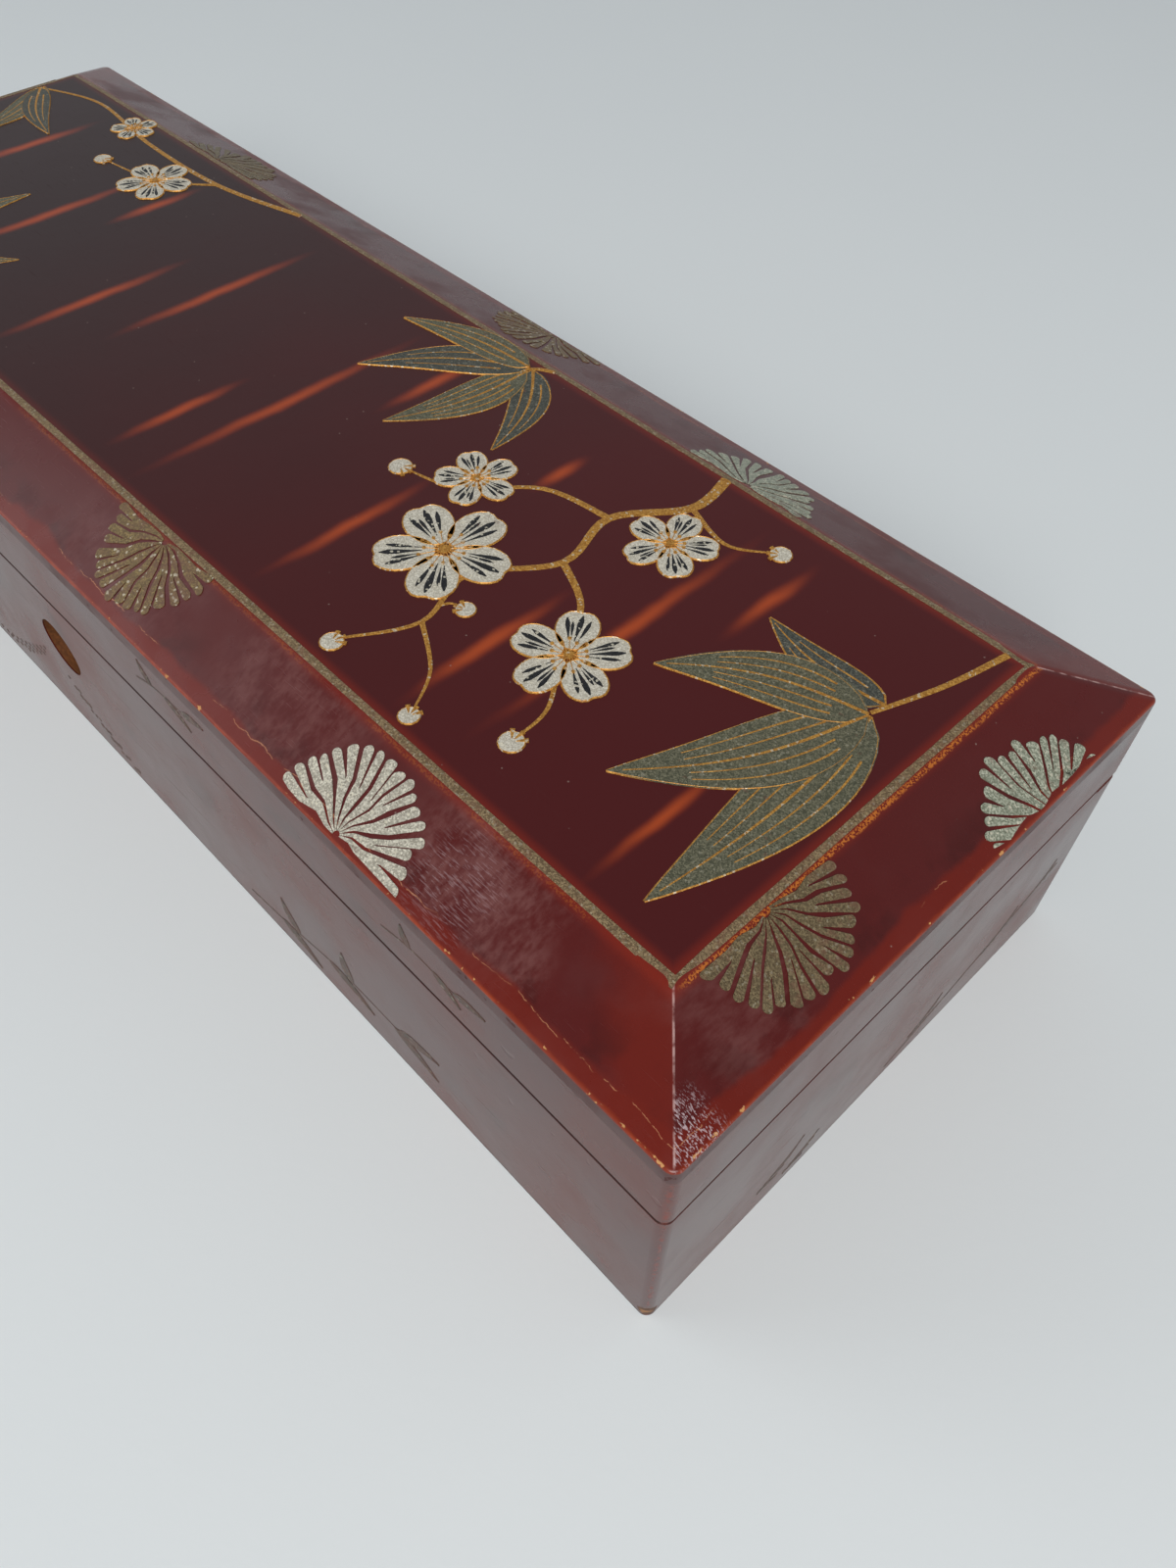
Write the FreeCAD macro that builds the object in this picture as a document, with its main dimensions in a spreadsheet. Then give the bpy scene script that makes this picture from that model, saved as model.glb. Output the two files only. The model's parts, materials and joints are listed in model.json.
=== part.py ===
import FreeCAD, Part
import math
import os
import re

import Sketcher

# A long lacquered writing box with a hinged, bevelled lid, a lock behind a round keyhole,
# and a lift-out tray that holds an inkstone, an ink stick, a water dropper and two brushes.
# Frame: origin at the middle of the base, X along the box, front wall at -Y, Z up, millimetres.

SIZES = {
    # Box
    "box_length": (288.0, "outside length of the walls"),
    "box_width": (100.0, "outside width of the walls"),
    "body_height": (39.2, "height of the box up to the seam"),
    "wall": (6.0, "thickness of every wall"),
    "corner_round": (1.6, "rounding of the upright corners"),
    "seam_bevel": (0.3, "small bevel along both edges of the seam"),
    "tongue_thick": (2.5, "thickness of an end wall's tongue"),
    "tongue_depth": (3.0, "how far a tongue goes into the long wall"),
    "bottom_thick": (4.0, "thickness of the bottom board"),
    "bottom_rabbet": (3.0, "how far the bottom board reaches into the walls"),
    # Lid
    "seam_gap": (0.2, "gap between the closed lid and the box"),
    "lid_wall_height": (12.9, "height of the lid's walls under its top"),
    "lid_edge": (3.0, "upright edge of the lid's top"),
    "bevel_inset": (14.0, "how far the bevels run in from the edge"),
    "bevel_rise": (5.9, "how far the bevels rise to the panel"),
    "panel_thick": (4.6, "thickness of the lid's top at its panel"),
    "dish_margin": (1.5, "how far the hollow under the panel stays inside the bevels"),
    "dish_round": (3.0, "rounding of the hollow's corners"),
    "crease_round": (5.0, "rounding where the bevels meet the panel"),
    "edge_round": (1.2, "rounding where the bevels meet the lid's upright edge"),
    # Hinges
    "hinge_relief": (0.7, "how much lower the back wall is planed, for the hinges"),
    "hinge_inset": (56.0, "middle of each hinge from the end of the box"),
    "leaf_length": (30.0, "length of a hinge"),
    "leaf_depth": (5.0, "depth of a hinge leaf from the pin's axis"),
    "leaf_thick": (0.8, "thickness of a hinge leaf"),
    "axis_inset": (0.5, "how far the pin's axis lies inside the back face"),
    "barrel_radius": (1.9, "outside radius of the hinge barrel"),
    "barrel_gap": (0.25, "room round the barrel, and between knuckles"),
    "pin_radius": (0.9, "radius of the hinge pin"),
    "running_fit": (0.05, "room round a pin or a nail in its hole"),
    "hinge_nail_row": (3.6, "hinge nails from the pin's axis"),
    "hinge_nail_pitch": (20.0, "distance between the two nails of a leaf"),
    # Nails
    "nail_side": (0.9, "side of a nail's square shank"),
    "nail_neck": (1.1, "side of a nail's square head where the shank starts"),
    "nail_head": (2.0, "side of a nail's square head"),
    "nail_head_height": (0.8, "height of a nail's countersunk head"),
    "nail_length": (4.0, "length of a nail"),
    # Lock
    "keyhole_radius": (5.75, "radius of the round hole in the front wall"),
    "keyhole_drop": (14.5, "middle of the keyhole below the top of the front wall"),
    "keyhole_shift": (4.5, "keyhole to the left of the middle of the box"),
    "plate_half": (19.0, "half the length of the lock plate"),
    "plate_thick": (0.8, "thickness of the lock plate and of the strike plate"),
    "plate_drop": (23.2, "lower edge of the lock plate below the top of the wall"),
    "flange_thick": (0.9, "thickness of the lock's top flange"),
    "flange_drop": (0.3, "top flange below the top of the wall"),
    "case_half": (15.0, "half the length of the lock case"),
    "case_depth": (7.5, "depth of the lock from the wall"),
    "case_wall": (0.8, "sheet thickness of the lock case"),
    "case_foot": (1.0, "lock plate's rim below the case"),
    "drill_radius": (1.1, "radius of the drill pin that carries the key"),
    "key_barrel_radius": (2.6, "round part of the keyhole in the plate"),
    "key_bit_slot": (2.2, "width of the slot for the key's bit"),
    "key_bit_drop": (6.0, "how far that slot reaches below the drill pin"),
    "bolt_set": (3.0, "front of the bolt from the wall"),
    "bolt_thick": (1.6, "thickness of the bolt"),
    "bolt_bar_top": (7.0, "top of the bolt's bar below the top of the wall"),
    "bolt_bar_height": (4.0, "height of the bolt's bar"),
    "bolt_post": (2.0, "width of a post of the bolt"),
    "bolt_prong": (4.0, "length of a prong of the bolt"),
    "bolt_prong_height": (1.8, "height of a prong"),
    "bolt_prong_top": (2.7, "top of a prong below the top of the wall"),
    "bolt_travel": (4.0, "how far the bolt slides"),
    "talon_depth": (1.4, "depth of the notch where the key's bit pushes"),
    "spring_thick": (0.4, "thickness of the bolt's spring"),
    "lock_play": (0.15, "room between the bolt and what guides it"),
    "lock_nail_inset": (2.0, "lock nails from the ends of the plate"),
    "lock_nail_drop": (12.0, "lock nails below the top of the wall"),
    # Strike
    "strike_half": (17.0, "half the length of the strike plate"),
    "strike_height": (9.0, "height of the strike plate up the lid's wall"),
    "staple_left": (-7.0, "left face of the left staple"),
    "staple_pitch": (15.0, "distance between the staples"),
    "staple_thick": (1.4, "thickness of a staple"),
    "staple_set": (1.8, "front of a staple from the wall"),
    "staple_width": (4.0, "width of a staple"),
    "staple_drop": (6.2, "lower end of a staple below the top of the wall"),
    "staple_rim": (0.8, "metal left beside a staple's window"),
    "window_low": (5.0, "lower edge of the window below the top of the wall"),
    "window_high": (2.2, "upper edge of the window below the top of the wall"),
    "slot_room": (0.6, "room round a staple in the lock's top flange"),
    "strike_nail_pitch": (26.0, "distance between the strike's nails"),
    "strike_nail_lift": (5.6, "strike's nails above its lower edge"),
    # Tray
    "tray_play": (0.8, "room round the tray"),
    "tray_height": (11.0, "height of the tray's rails"),
    "rail_thick": (3.0, "thickness of the tray's rails"),
    "tray_bottom": (3.0, "thickness of the tray's bottom"),
    "divider_thick": (2.5, "thickness of a divider"),
    "divider_height": (8.0, "height of a divider over the tray's bottom"),
    "brush_bay": (19.0, "width of the long bay for the brushes"),
    "rail_round": (0.8, "rounding of the rails' upper edges"),
    # Inkstone
    "stone_length": (104.0, "length of the inkstone"),
    "stone_room": (2.0, "room at each end of the inkstone"),
    "stone_margin": (2.2, "room along each long side of the inkstone"),
    "stone_height": (14.0, "height of the inkstone"),
    "stone_corner": (3.0, "rounding of the inkstone's corners"),
    "stone_rim": (4.5, "width of the rim round its grinding face"),
    "stone_edge": (0.8, "bevel along both edges of the rim"),
    "stone_face_depth": (1.6, "depth of the grinding face"),
    "pool_length": (22.0, "length of the ink pool"),
    "pool_depth": (8.0, "depth of the ink pool"),
    "pool_slope": (17.0, "length of the slope down to the pool"),
    # Ink stick
    "stick_room": (10.7, "room at each end of the ink stick"),
    "stick_width": (21.0, "width of the ink stick"),
    "stick_height": (9.0, "thickness of the ink stick"),
    "stick_bevel": (1.2, "bevel along the ink stick's edges"),
    "stick_panel_inset": (3.0, "margin of its sunk panel"),
    "stick_panel_depth": (0.6, "depth of its sunk panel"),
    # Water dropper
    "dropper_length": (44.0, "length of the water dropper"),
    "dropper_room": (6.0, "room at each end of the water dropper"),
    "dropper_width": (38.0, "width of the water dropper"),
    "dropper_height": (17.0, "height of the water dropper"),
    "dropper_sheet": (1.0, "sheet thickness of the water dropper"),
    "dropper_corner": (7.0, "cut-off at its upright corners"),
    "dropper_brow": (2.5, "bevel round its upper edge"),
    "dropper_hole": (1.5, "radius of the air hole and of the spout's hole"),
    "spout_radius": (3.2, "outside radius of the spout"),
    "spout_height": (2.2, "height of the spout"),
    "spout_set": (11.0, "spout and air hole from the ends"),
    # Brushes
    "brush_radius": (3.5, "radius of a brush's shaft"),
    "brush_shaft": (172.0, "length of a brush's shaft"),
    "brush_collar": (13.0, "length of the collar that holds the hair"),
    "collar_swell": (0.6, "how much wider the collar is"),
    "brush_hair": (38.0, "length of the hair that shows"),
    "hair_share": (0.92, "thickness of the hair as a share of the shaft"),
    "hair_body": (12.0, "length of the hair before it tapers"),
    "hair_taper": (0.93, "share of its thickness that the hair loses by its tip"),
    "brush_pitch": (9.4, "distance between the brushes"),
    "rest_thick": (7.0, "thickness of a brush rest"),
    "rest_height": (8.0, "height of a brush rest"),
    "rest_room": (0.3, "room round a shaft in its rest"),
    "rest_from_butt": (36.0, "left brush rest from the butt end of the shafts"),
    "rest_from_collar": (24.0, "right brush rest from the collars"),
}

HALF_LENGTH = "(box_length / 2)"
HALF_WIDTH = "(box_width / 2)"
INNER_X = "(box_length / 2 - wall)"
INNER_Y = "(box_width / 2 - wall)"
LID_Z = "(body_height + seam_gap)"
LID_TOP_Z = "(body_height + seam_gap + lid_wall_height)"
BACK_WALL_TOP = "(body_height - hinge_relief)"
AXIS_Y = "(box_width / 2 - axis_inset)"
HALF_HINGE_GAP = "((seam_gap + hinge_relief) / 2)"
AXIS_Z = "(body_height - hinge_relief + (seam_gap + hinge_relief) / 2)"
LEAF_RECESS = "(leaf_thick - (seam_gap + hinge_relief) / 2)"
HINGE_X = "(box_length / 2 - hinge_inset)"
TRAY_Z = "(bottom_thick + tray_bottom)"
TRAY_FRONT = "(case_depth + tray_play - box_width / 2 + wall)"
TRAY_BACK = "(box_width / 2 - wall - tray_play)"
TRAY_END = "(box_length / 2 - wall - tray_play)"

doc = FreeCAD.newDocument("WritingBox")
sheet = doc.addObject("Spreadsheet::Sheet", "Sizes")
nodes = []


def fill_sheet():
    """Writes every size, its name and its meaning into the spreadsheet."""
    for row, (alias, (number, meaning)) in enumerate(SIZES.items(), 1):
        sheet.set(f"A{row}", meaning)
        sheet.set(f"B{row}", str(number))
        sheet.setAlias(f"B{row}", alias)
    doc.recompute()


def formula(text):
    """Puts the sheet's name before each size that a formula uses."""
    return re.sub(r"[a-z][a-z_]*", lambda word: f"Sizes.{word[0]}" if word[0] in SIZES else word[0], str(text))


def value(text):
    """Works out a formula from the sheet."""
    return float(sheet.evalExpression(formula(text)))


def bind(item, name, text):
    """Ties a property of an object to a formula on the sheet's sizes."""
    item.setExpression(name, formula(text))


def place(item, at, turn=None):
    """Puts an object at three formulas, turned as given."""
    if turn:
        item.Placement = FreeCAD.Placement(FreeCAD.Vector(), turn)
    for axis, text in zip("xyz", at):
        bind(item, f"Placement.Base.{axis}", text)


def node(item, label):
    """Names an object as one piece of the box."""
    item.Label = label
    nodes.append(item)
    return item


def new_body(label, at=("0", "0", "0")):
    """Starts a piece that is made from sketches."""
    body = doc.addObject("PartDesign::Body", f"{label}_body")
    place(body, at)
    return node(body, label)


def sketch(body, name, role, lift="0"):
    """Starts a sketch on one of a body's own planes, moved along the plane's normal."""
    plane = next(item for item in body.Origin.OriginFeatures if item.Role == role)
    drawing = body.newObject("Sketcher::SketchObject", f"{body.Name}_{name}")
    drawing.AttachmentSupport = [(plane, "")]
    drawing.MapMode = "FlatFace"
    bind(drawing, "AttachmentOffset.Base.z", lift)
    return drawing


def pin_point(drawing, index, end, point):
    """Ties one point of a sketch to two formulas, measured from the sketch's origin."""
    for axis, text in zip("XY", point):
        number = drawing.addConstraint(Sketcher.Constraint(f"Distance{axis}", -1, 1, index, end, value(text)))
        bind(drawing, f"Constraints[{number}]", text)


def polygon(drawing, points):
    """Draws a closed outline of straight lines through points given as formulas."""
    corners = [FreeCAD.Vector(value(x), value(y), 0) for x, y in points]
    first = drawing.GeometryCount
    for start, end in zip(corners, corners[1:] + corners[:1]):
        drawing.addGeometry(Part.LineSegment(start, end), False)
    for step, point in enumerate(points):
        following = first + (step + 1) % len(points)
        drawing.addConstraint(Sketcher.Constraint("Coincident", first + step, 2, following, 1))
        pin_point(drawing, first + step, 1, point)


def rectangle(drawing, low_x, low_y, high_x, high_y):
    """Draws a rectangle between two corners."""
    polygon(drawing, [(low_x, low_y), (high_x, low_y), (high_x, high_y), (low_x, high_y)])


def circle(drawing, centre, radius):
    """Draws a circle."""
    middle = FreeCAD.Vector(value(centre[0]), value(centre[1]), 0)
    index = drawing.addGeometry(Part.Circle(middle, FreeCAD.Vector(0, 0, 1), value(radius)), False)
    pin_point(drawing, index, 3, centre)
    number = drawing.addConstraint(Sketcher.Constraint("Radius", index, value(radius)))
    bind(drawing, f"Constraints[{number}]", radius)


def pad(body, drawing, length, back=False):
    """Raises a sketch into a solid, along its normal or against it."""
    feature = body.newObject("PartDesign::Pad", f"{drawing.Name}_pad")
    feature.Profile = drawing
    bind(feature, "Length", length)
    feature.Reversed = back
    doc.recompute()
    return feature


def pocket(body, drawing, depth, along=False):
    """Cuts a sketch out of a body, against its normal, or along it."""
    before = body.Shape.Volume
    feature = body.newObject("PartDesign::Pocket", f"{drawing.Name}_pocket")
    feature.Profile = drawing
    bind(feature, "Length", depth)
    feature.Reversed = along
    doc.recompute()
    if not body.Shape.Volume < before:
        raise RuntimeError(f"{feature.Name} cuts nothing")
    return feature


def edges_on(feature, **where):
    """Finds the edges whose ends all lie at the given x, y or z."""
    found = []
    for number, edge in enumerate(feature.Shape.Edges, 1):
        ends = [vertex.Point for vertex in edge.Vertexes]
        if all(abs(getattr(point, axis) - place) < 1e-4 for point in ends for axis, place in where.items()):
            found.append(f"Edge{number}")
    return found


def soften(body, kind, names, size):
    """Rounds or bevels the named edges of a body's last feature."""
    feature = body.newObject(f"PartDesign::{kind}", f"{body.Name}_{kind}")
    feature.Base = (feature.BaseFeature, names)
    bind(feature, "Radius" if kind == "Fillet" else "Size", size)
    doc.recompute()
    if not names or feature.Shape.isNull():
        raise RuntimeError(f"{feature.Name} has no result from {len(names)} edges")
    return feature


def block(name, size, at):
    """Makes a plain block."""
    item = doc.addObject("Part::Box", name)
    for side, text in zip(("Length", "Width", "Height"), size):
        bind(item, side, text)
    place(item, at)
    return item


ALONG_X = FreeCAD.Rotation(FreeCAD.Vector(0, 1, 0), 90)
ALONG_Y = FreeCAD.Rotation(FreeCAD.Vector(1, 0, 0), -90)
UPSIDE_DOWN = FreeCAD.Rotation(FreeCAD.Vector(1, 0, 0), 180)
Y_TO_X = FreeCAD.Rotation(FreeCAD.Vector(0, 0, 1), -90)
Y_TO_Z = FreeCAD.Rotation(FreeCAD.Vector(1, 0, 0), 90)
EIGHTH_TURN = FreeCAD.Rotation(FreeCAD.Vector(1, 0, 0), 45)


def rod(name, radius, length, at, turn=None):
    """Makes a cylinder from one end, turned as given."""
    item = doc.addObject("Part::Cylinder", name)
    bind(item, "Radius", radius)
    bind(item, "Height", length)
    place(item, at, turn)
    return item


def square_taper(name, start_side, end_side, length, at, turn):
    """Makes a square taper from the middle of one end. It runs along y before it is turned."""
    item = doc.addObject("Part::Wedge", name)
    bind(item, "Ymin", "0")
    bind(item, "Ymax", length)
    for letter in "XZ":
        bind(item, f"{letter}min", f"-({start_side}) / 2")
        bind(item, f"{letter}max", f"({start_side}) / 2")
        bind(item, f"{letter}2min", f"-({end_side}) / 2")
        bind(item, f"{letter}2max", f"({end_side}) / 2")
    place(item, at, turn)
    return item


def eight_sided_taper(name, start_width, end_width, length, at):
    """Makes an eight-sided taper along x, which two square tapers have in common."""
    item = doc.addObject("Part::MultiCommon", name)
    item.Shapes = [square_taper(f"{name}_{index}", start_width, end_width, length, at, turn)
                   for index, turn in enumerate((Y_TO_X, EIGHTH_TURN * Y_TO_X))]
    return item


def fuse(name, items):
    """Joins solids into one."""
    item = doc.addObject("Part::MultiFuse", name)
    item.Shapes = items
    item.Refine = True
    return item


def cut(name, base, tools):
    """Cuts tools out of a base."""
    tool = tools[0] if len(tools) == 1 else fuse(f"{name}_tools", tools)
    item = doc.addObject("Part::Cut", name)
    item.Base = base
    item.Tool = tool
    return item


def nail(name, at, turn=None, room="0"):
    """Makes a square nail with a countersunk head, head up at its place, or the hole that it needs."""
    head = square_taper(f"{name}_head", f"nail_neck + 2 * {room}", f"nail_head + 2 * {room}", "nail_head_height",
                        ("0", "0", "-nail_head_height"), Y_TO_Z)
    side = f"nail_side + 2 * {room}"
    shank = block(f"{name}_shank", (side, side, "nail_length - nail_head_height"),
                  (f"-({side}) / 2", f"-({side}) / 2", "-nail_length"))
    item = fuse(name, [head, shank])
    place(item, at, turn)
    return item


def nail_room(name, places, turn=None):
    """Makes the countersunk holes for nails at the given places, with the running fit round them."""
    return [nail(f"{name}_room_{number}", at, turn, "running_fit") for number, at in enumerate(places)]


def nails(label, places, turn=None):
    """Makes one piece of like nails at the given places."""
    return group(label, [nail(f"{label}_{number}", at, turn) for number, at in enumerate(places)])


def nail_holes(drawing, points):
    """Draws the square holes for the shanks of nails."""
    half = "(nail_side / 2 + running_fit)"
    for x, y in points:
        rectangle(drawing, f"{x} - {half}", f"{y} - {half}", f"{x} + {half}", f"{y} + {half}")


def group(label, items):
    """Puts separate like solids into one piece."""
    item = doc.addObject("Part::Compound", f"{label}_group")
    item.Links = items
    return node(item, label)


# Walls of the box and of the lid

def long_wall(label, side, height, level, tongue_from):
    """Makes a front (side -1) or back (side 1) wall with housings for the end walls' tongues."""
    body = new_body(label, ("0", "0", level))
    outer = f"{side} * {HALF_WIDTH}"
    inner = f"{side} * {INNER_Y}"
    near, far = (outer, inner) if side < 0 else (inner, outer)
    plan = sketch(body, "plan", "XY_Plane")
    rectangle(plan, f"-{HALF_LENGTH}", near, HALF_LENGTH, far)
    blank = pad(body, plan, height)
    corners = []
    for end in (-1, 1):
        corners += edges_on(blank, x=end * value(HALF_LENGTH), y=value(outer))
    soften(body, "Fillet", corners, "corner_round")
    for end in (-1, 1):
        housing = sketch(body, f"housing_{'left' if end < 0 else 'right'}", "XY_Plane", tongue_from)
        xs = sorted([f"{end} * {INNER_X}", f"{end} * ({INNER_X} + tongue_thick)"], key=value)
        ys = sorted([inner, f"{side} * ({INNER_Y} + tongue_depth)"], key=value)
        rectangle(housing, xs[0], ys[0], xs[1], ys[1])
        pocket(body, housing, height, along=True)
    return body


def outer_edges(body, level, inner):
    """Finds the edges round the outside of a long wall at a level."""
    everything = edges_on(body.Tip, z=level)
    inside = edges_on(body.Tip, z=level, y=inner)
    reach = abs(inner) + value("tongue_depth") + 0.01
    housing = [name for name in everything
               if max(abs(v.Point.y) for v in body.Tip.Shape.getElement(name).Vertexes) < reach]
    return [name for name in everything if name not in inside and name not in housing]


def bottom_rabbet(body, side):
    """Cuts the rabbet that the bottom board sits in, along a long wall."""
    drawing = sketch(body, "rabbet", "XY_Plane")
    ys = sorted([f"{side} * {INNER_Y}", f"{side} * ({INNER_Y} + bottom_rabbet)"], key=value)
    rectangle(drawing, f"-({INNER_X} + bottom_rabbet)", ys[0], f"{INNER_X} + bottom_rabbet", ys[1])
    pocket(body, drawing, "bottom_thick", along=True)


def end_wall(label, side, height, level, tongue_from):
    """Makes a left (side -1) or right (side 1) end wall with a tongue at each end."""
    body = new_body(label, ("0", "0", level))
    plan = sketch(body, "plan", "XY_Plane")
    xs = sorted([f"{side} * {INNER_X}", f"{side} * {HALF_LENGTH}"], key=value)
    rectangle(plan, xs[0], f"-{INNER_Y}", xs[1], INNER_Y)
    pad(body, plan, height)
    tongue = sketch(body, "tongue", "XY_Plane", tongue_from)
    xs = sorted([f"{side} * {INNER_X}", f"{side} * ({INNER_X} + tongue_thick)"], key=value)
    rectangle(tongue, xs[0], f"-({INNER_Y} + tongue_depth)", xs[1], f"{INNER_Y} + tongue_depth")
    pad(body, tongue, f"{height} - {tongue_from}")
    return body


def hinge_seat(body, top, below):
    """Cuts the recesses for the hinge leaves, barrels and nails into a back wall's edge."""
    direction = -1 if below else 1
    room = f"({LEAF_RECESS})"
    for side in (-1, 1):
        middle = f"{side} * {HINGE_X}"
        name = "left" if side < 0 else "right"
        recess = sketch(body, f"leaf_{name}", "XY_Plane", top)
        rectangle(recess, f"{middle} - leaf_length / 2 - running_fit", f"{AXIS_Y} - leaf_depth",
                  f"{middle} + leaf_length / 2 + running_fit", f"{HALF_WIDTH} + 1")
        pocket(body, recess, room, along=not below)
        groove = sketch(body, f"barrel_{name}", "YZ_Plane", f"{middle} + leaf_length / 2 + barrel_gap")
        circle(groove, (AXIS_Y, f"{top} - {direction} * {HALF_HINGE_GAP}"), "barrel_radius + barrel_gap")
        pocket(body, groove, "leaf_length + 2 * barrel_gap")
        holes = sketch(body, f"nails_{name}", "XY_Plane", top)
        nail_holes(holes, [(x, y) for x, y, _ in hinge_nail_places(side)])
        pocket(body, holes, "nail_length", along=not below)


def wall_nail_holes(body, points):
    """Cuts the holes for nails into a front wall from its inner face."""
    drawing = sketch(body, "nails", "XZ_Plane", INNER_Y)
    nail_holes(drawing, points)
    return pocket(body, drawing, "nail_length - plate_thick", along=True)


LOCK_NAILS = [(f"{side} * (plate_half - lock_nail_inset)", "body_height - lock_nail_drop") for side in (-1, 1)]
STRIKE_NAILS = [(f"{side} * strike_nail_pitch / 2", "strike_nail_lift") for side in (-1, 1)]


def make_box_walls():
    """Makes the four walls and the bottom board of the box."""
    front = long_wall("front_wall", -1, "body_height", "0", "bottom_thick")
    soften(front, "Chamfer", outer_edges(front, value("body_height"), -value(INNER_Y)), "seam_bevel")
    bottom_rabbet(front, -1)
    hole = sketch(front, "keyhole", "XZ_Plane", HALF_WIDTH)
    circle(hole, ("-keyhole_shift", "body_height - keyhole_drop"), "keyhole_radius")
    pocket(front, hole, "wall")
    wall_nail_holes(front, LOCK_NAILS)

    back = long_wall("back_wall", 1, BACK_WALL_TOP, "0", "bottom_thick")
    soften(back, "Chamfer", outer_edges(back, value(BACK_WALL_TOP), value(INNER_Y)), "seam_bevel")
    bottom_rabbet(back, 1)
    hinge_seat(back, BACK_WALL_TOP, below=True)

    for label, side in (("left_wall", -1), ("right_wall", 1)):
        wall = end_wall(label, side, "body_height", "0", "bottom_thick")
        outer = side * value(HALF_LENGTH)
        soften(wall, "Chamfer", edges_on(wall.Tip, x=outer, z=value("body_height")), "seam_bevel")
        rabbet = sketch(wall, "rabbet", "XY_Plane")
        xs = sorted([f"{side} * {INNER_X}", f"{side} * ({INNER_X} + bottom_rabbet)"], key=value)
        rectangle(rabbet, xs[0], f"-{INNER_Y}", xs[1], INNER_Y)
        pocket(wall, rabbet, "bottom_thick", along=True)

    board = new_body("bottom_board")
    plan = sketch(board, "plan", "XY_Plane")
    rectangle(plan, f"-({INNER_X} + bottom_rabbet)", f"-({INNER_Y} + bottom_rabbet)",
              f"{INNER_X} + bottom_rabbet", f"{INNER_Y} + bottom_rabbet")
    pad(board, plan, "bottom_thick")


def make_lid():
    """Makes the lid's four walls and its bevelled top."""
    front = long_wall("lid_front_wall", -1, "lid_wall_height", LID_Z, "0")
    soften(front, "Chamfer", outer_edges(front, 0, -value(INNER_Y)), "seam_bevel")
    wall_nail_holes(front, STRIKE_NAILS)
    back = long_wall("lid_back_wall", 1, "lid_wall_height", LID_Z, "0")
    soften(back, "Chamfer", outer_edges(back, 0, value(INNER_Y)), "seam_bevel")
    hinge_seat(back, "0", below=False)
    for label, side in (("lid_left_wall", -1), ("lid_right_wall", 1)):
        wall = end_wall(label, side, "lid_wall_height", LID_Z, "0")
        soften(wall, "Chamfer", edges_on(wall.Tip, x=side * value(HALF_LENGTH), z=0), "seam_bevel")
    make_lid_top()


def lid_profile(label, role, half, length, from_side, back):
    """Makes one of the two long bars with the lid's rounded side view whose common part is the lid's top."""
    body = doc.addObject("PartDesign::Body", f"{label}_body")
    side = sketch(body, "side", role, from_side)
    top = "lid_edge + bevel_rise"
    polygon(side, [
        (f"-{half}", "0"), (half, "0"), (half, "lid_edge"), (f"{half} - bevel_inset", top),
        (f"-({half} - bevel_inset)", top), (f"-{half}", "lid_edge"),
    ])
    bar = pad(body, side, length, back)
    soften(body, "Fillet", edges_on(bar, z=value(top)), "crease_round")
    soften(body, "Fillet", edges_on(body.Tip, z=value("lid_edge")), "edge_round")
    return body


def rounded_block(label, half_x, half_y, height, radius):
    """Makes a block with rounded upright edges, standing on the ground plane."""
    body = doc.addObject("PartDesign::Body", f"{label}_body")
    plan = sketch(body, "plan", "XY_Plane")
    rectangle(plan, f"-{half_x}", f"-{half_y}", half_x, half_y)
    slab = pad(body, plan, height)
    upright = []
    for x_side in (-1, 1):
        for y_side in (-1, 1):
            upright += edges_on(slab, x=x_side * value(half_x), y=y_side * value(half_y))
    soften(body, "Fillet", upright, radius)
    return body


def make_lid_top():
    """Makes the lid's top: an upright edge, four bevels up to a flat panel, and a hollow underside."""
    across = lid_profile("lid_top_across", "YZ_Plane", HALF_WIDTH, "box_length", f"-{HALF_LENGTH}", False)
    along = lid_profile("lid_top_along", "XZ_Plane", HALF_LENGTH, "box_width", HALF_WIDTH, True)
    plan = rounded_block("lid_top_plan", HALF_LENGTH, HALF_WIDTH, "lid_edge + bevel_rise", "corner_round")
    blank = doc.addObject("Part::MultiCommon", "lid_top_blank")
    blank.Shapes = [across, along, plan]
    dish = rounded_block("lid_top_dish", f"({HALF_LENGTH} - bevel_inset - dish_margin)",
                         f"({HALF_WIDTH} - bevel_inset - dish_margin)",
                         "lid_edge + bevel_rise - panel_thick", "dish_round")
    top = cut("lid_top_solid", blank, [dish])
    place(top, ("0", "0", LID_TOP_Z))
    node(top, "lid_top")


# Hinges

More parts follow.
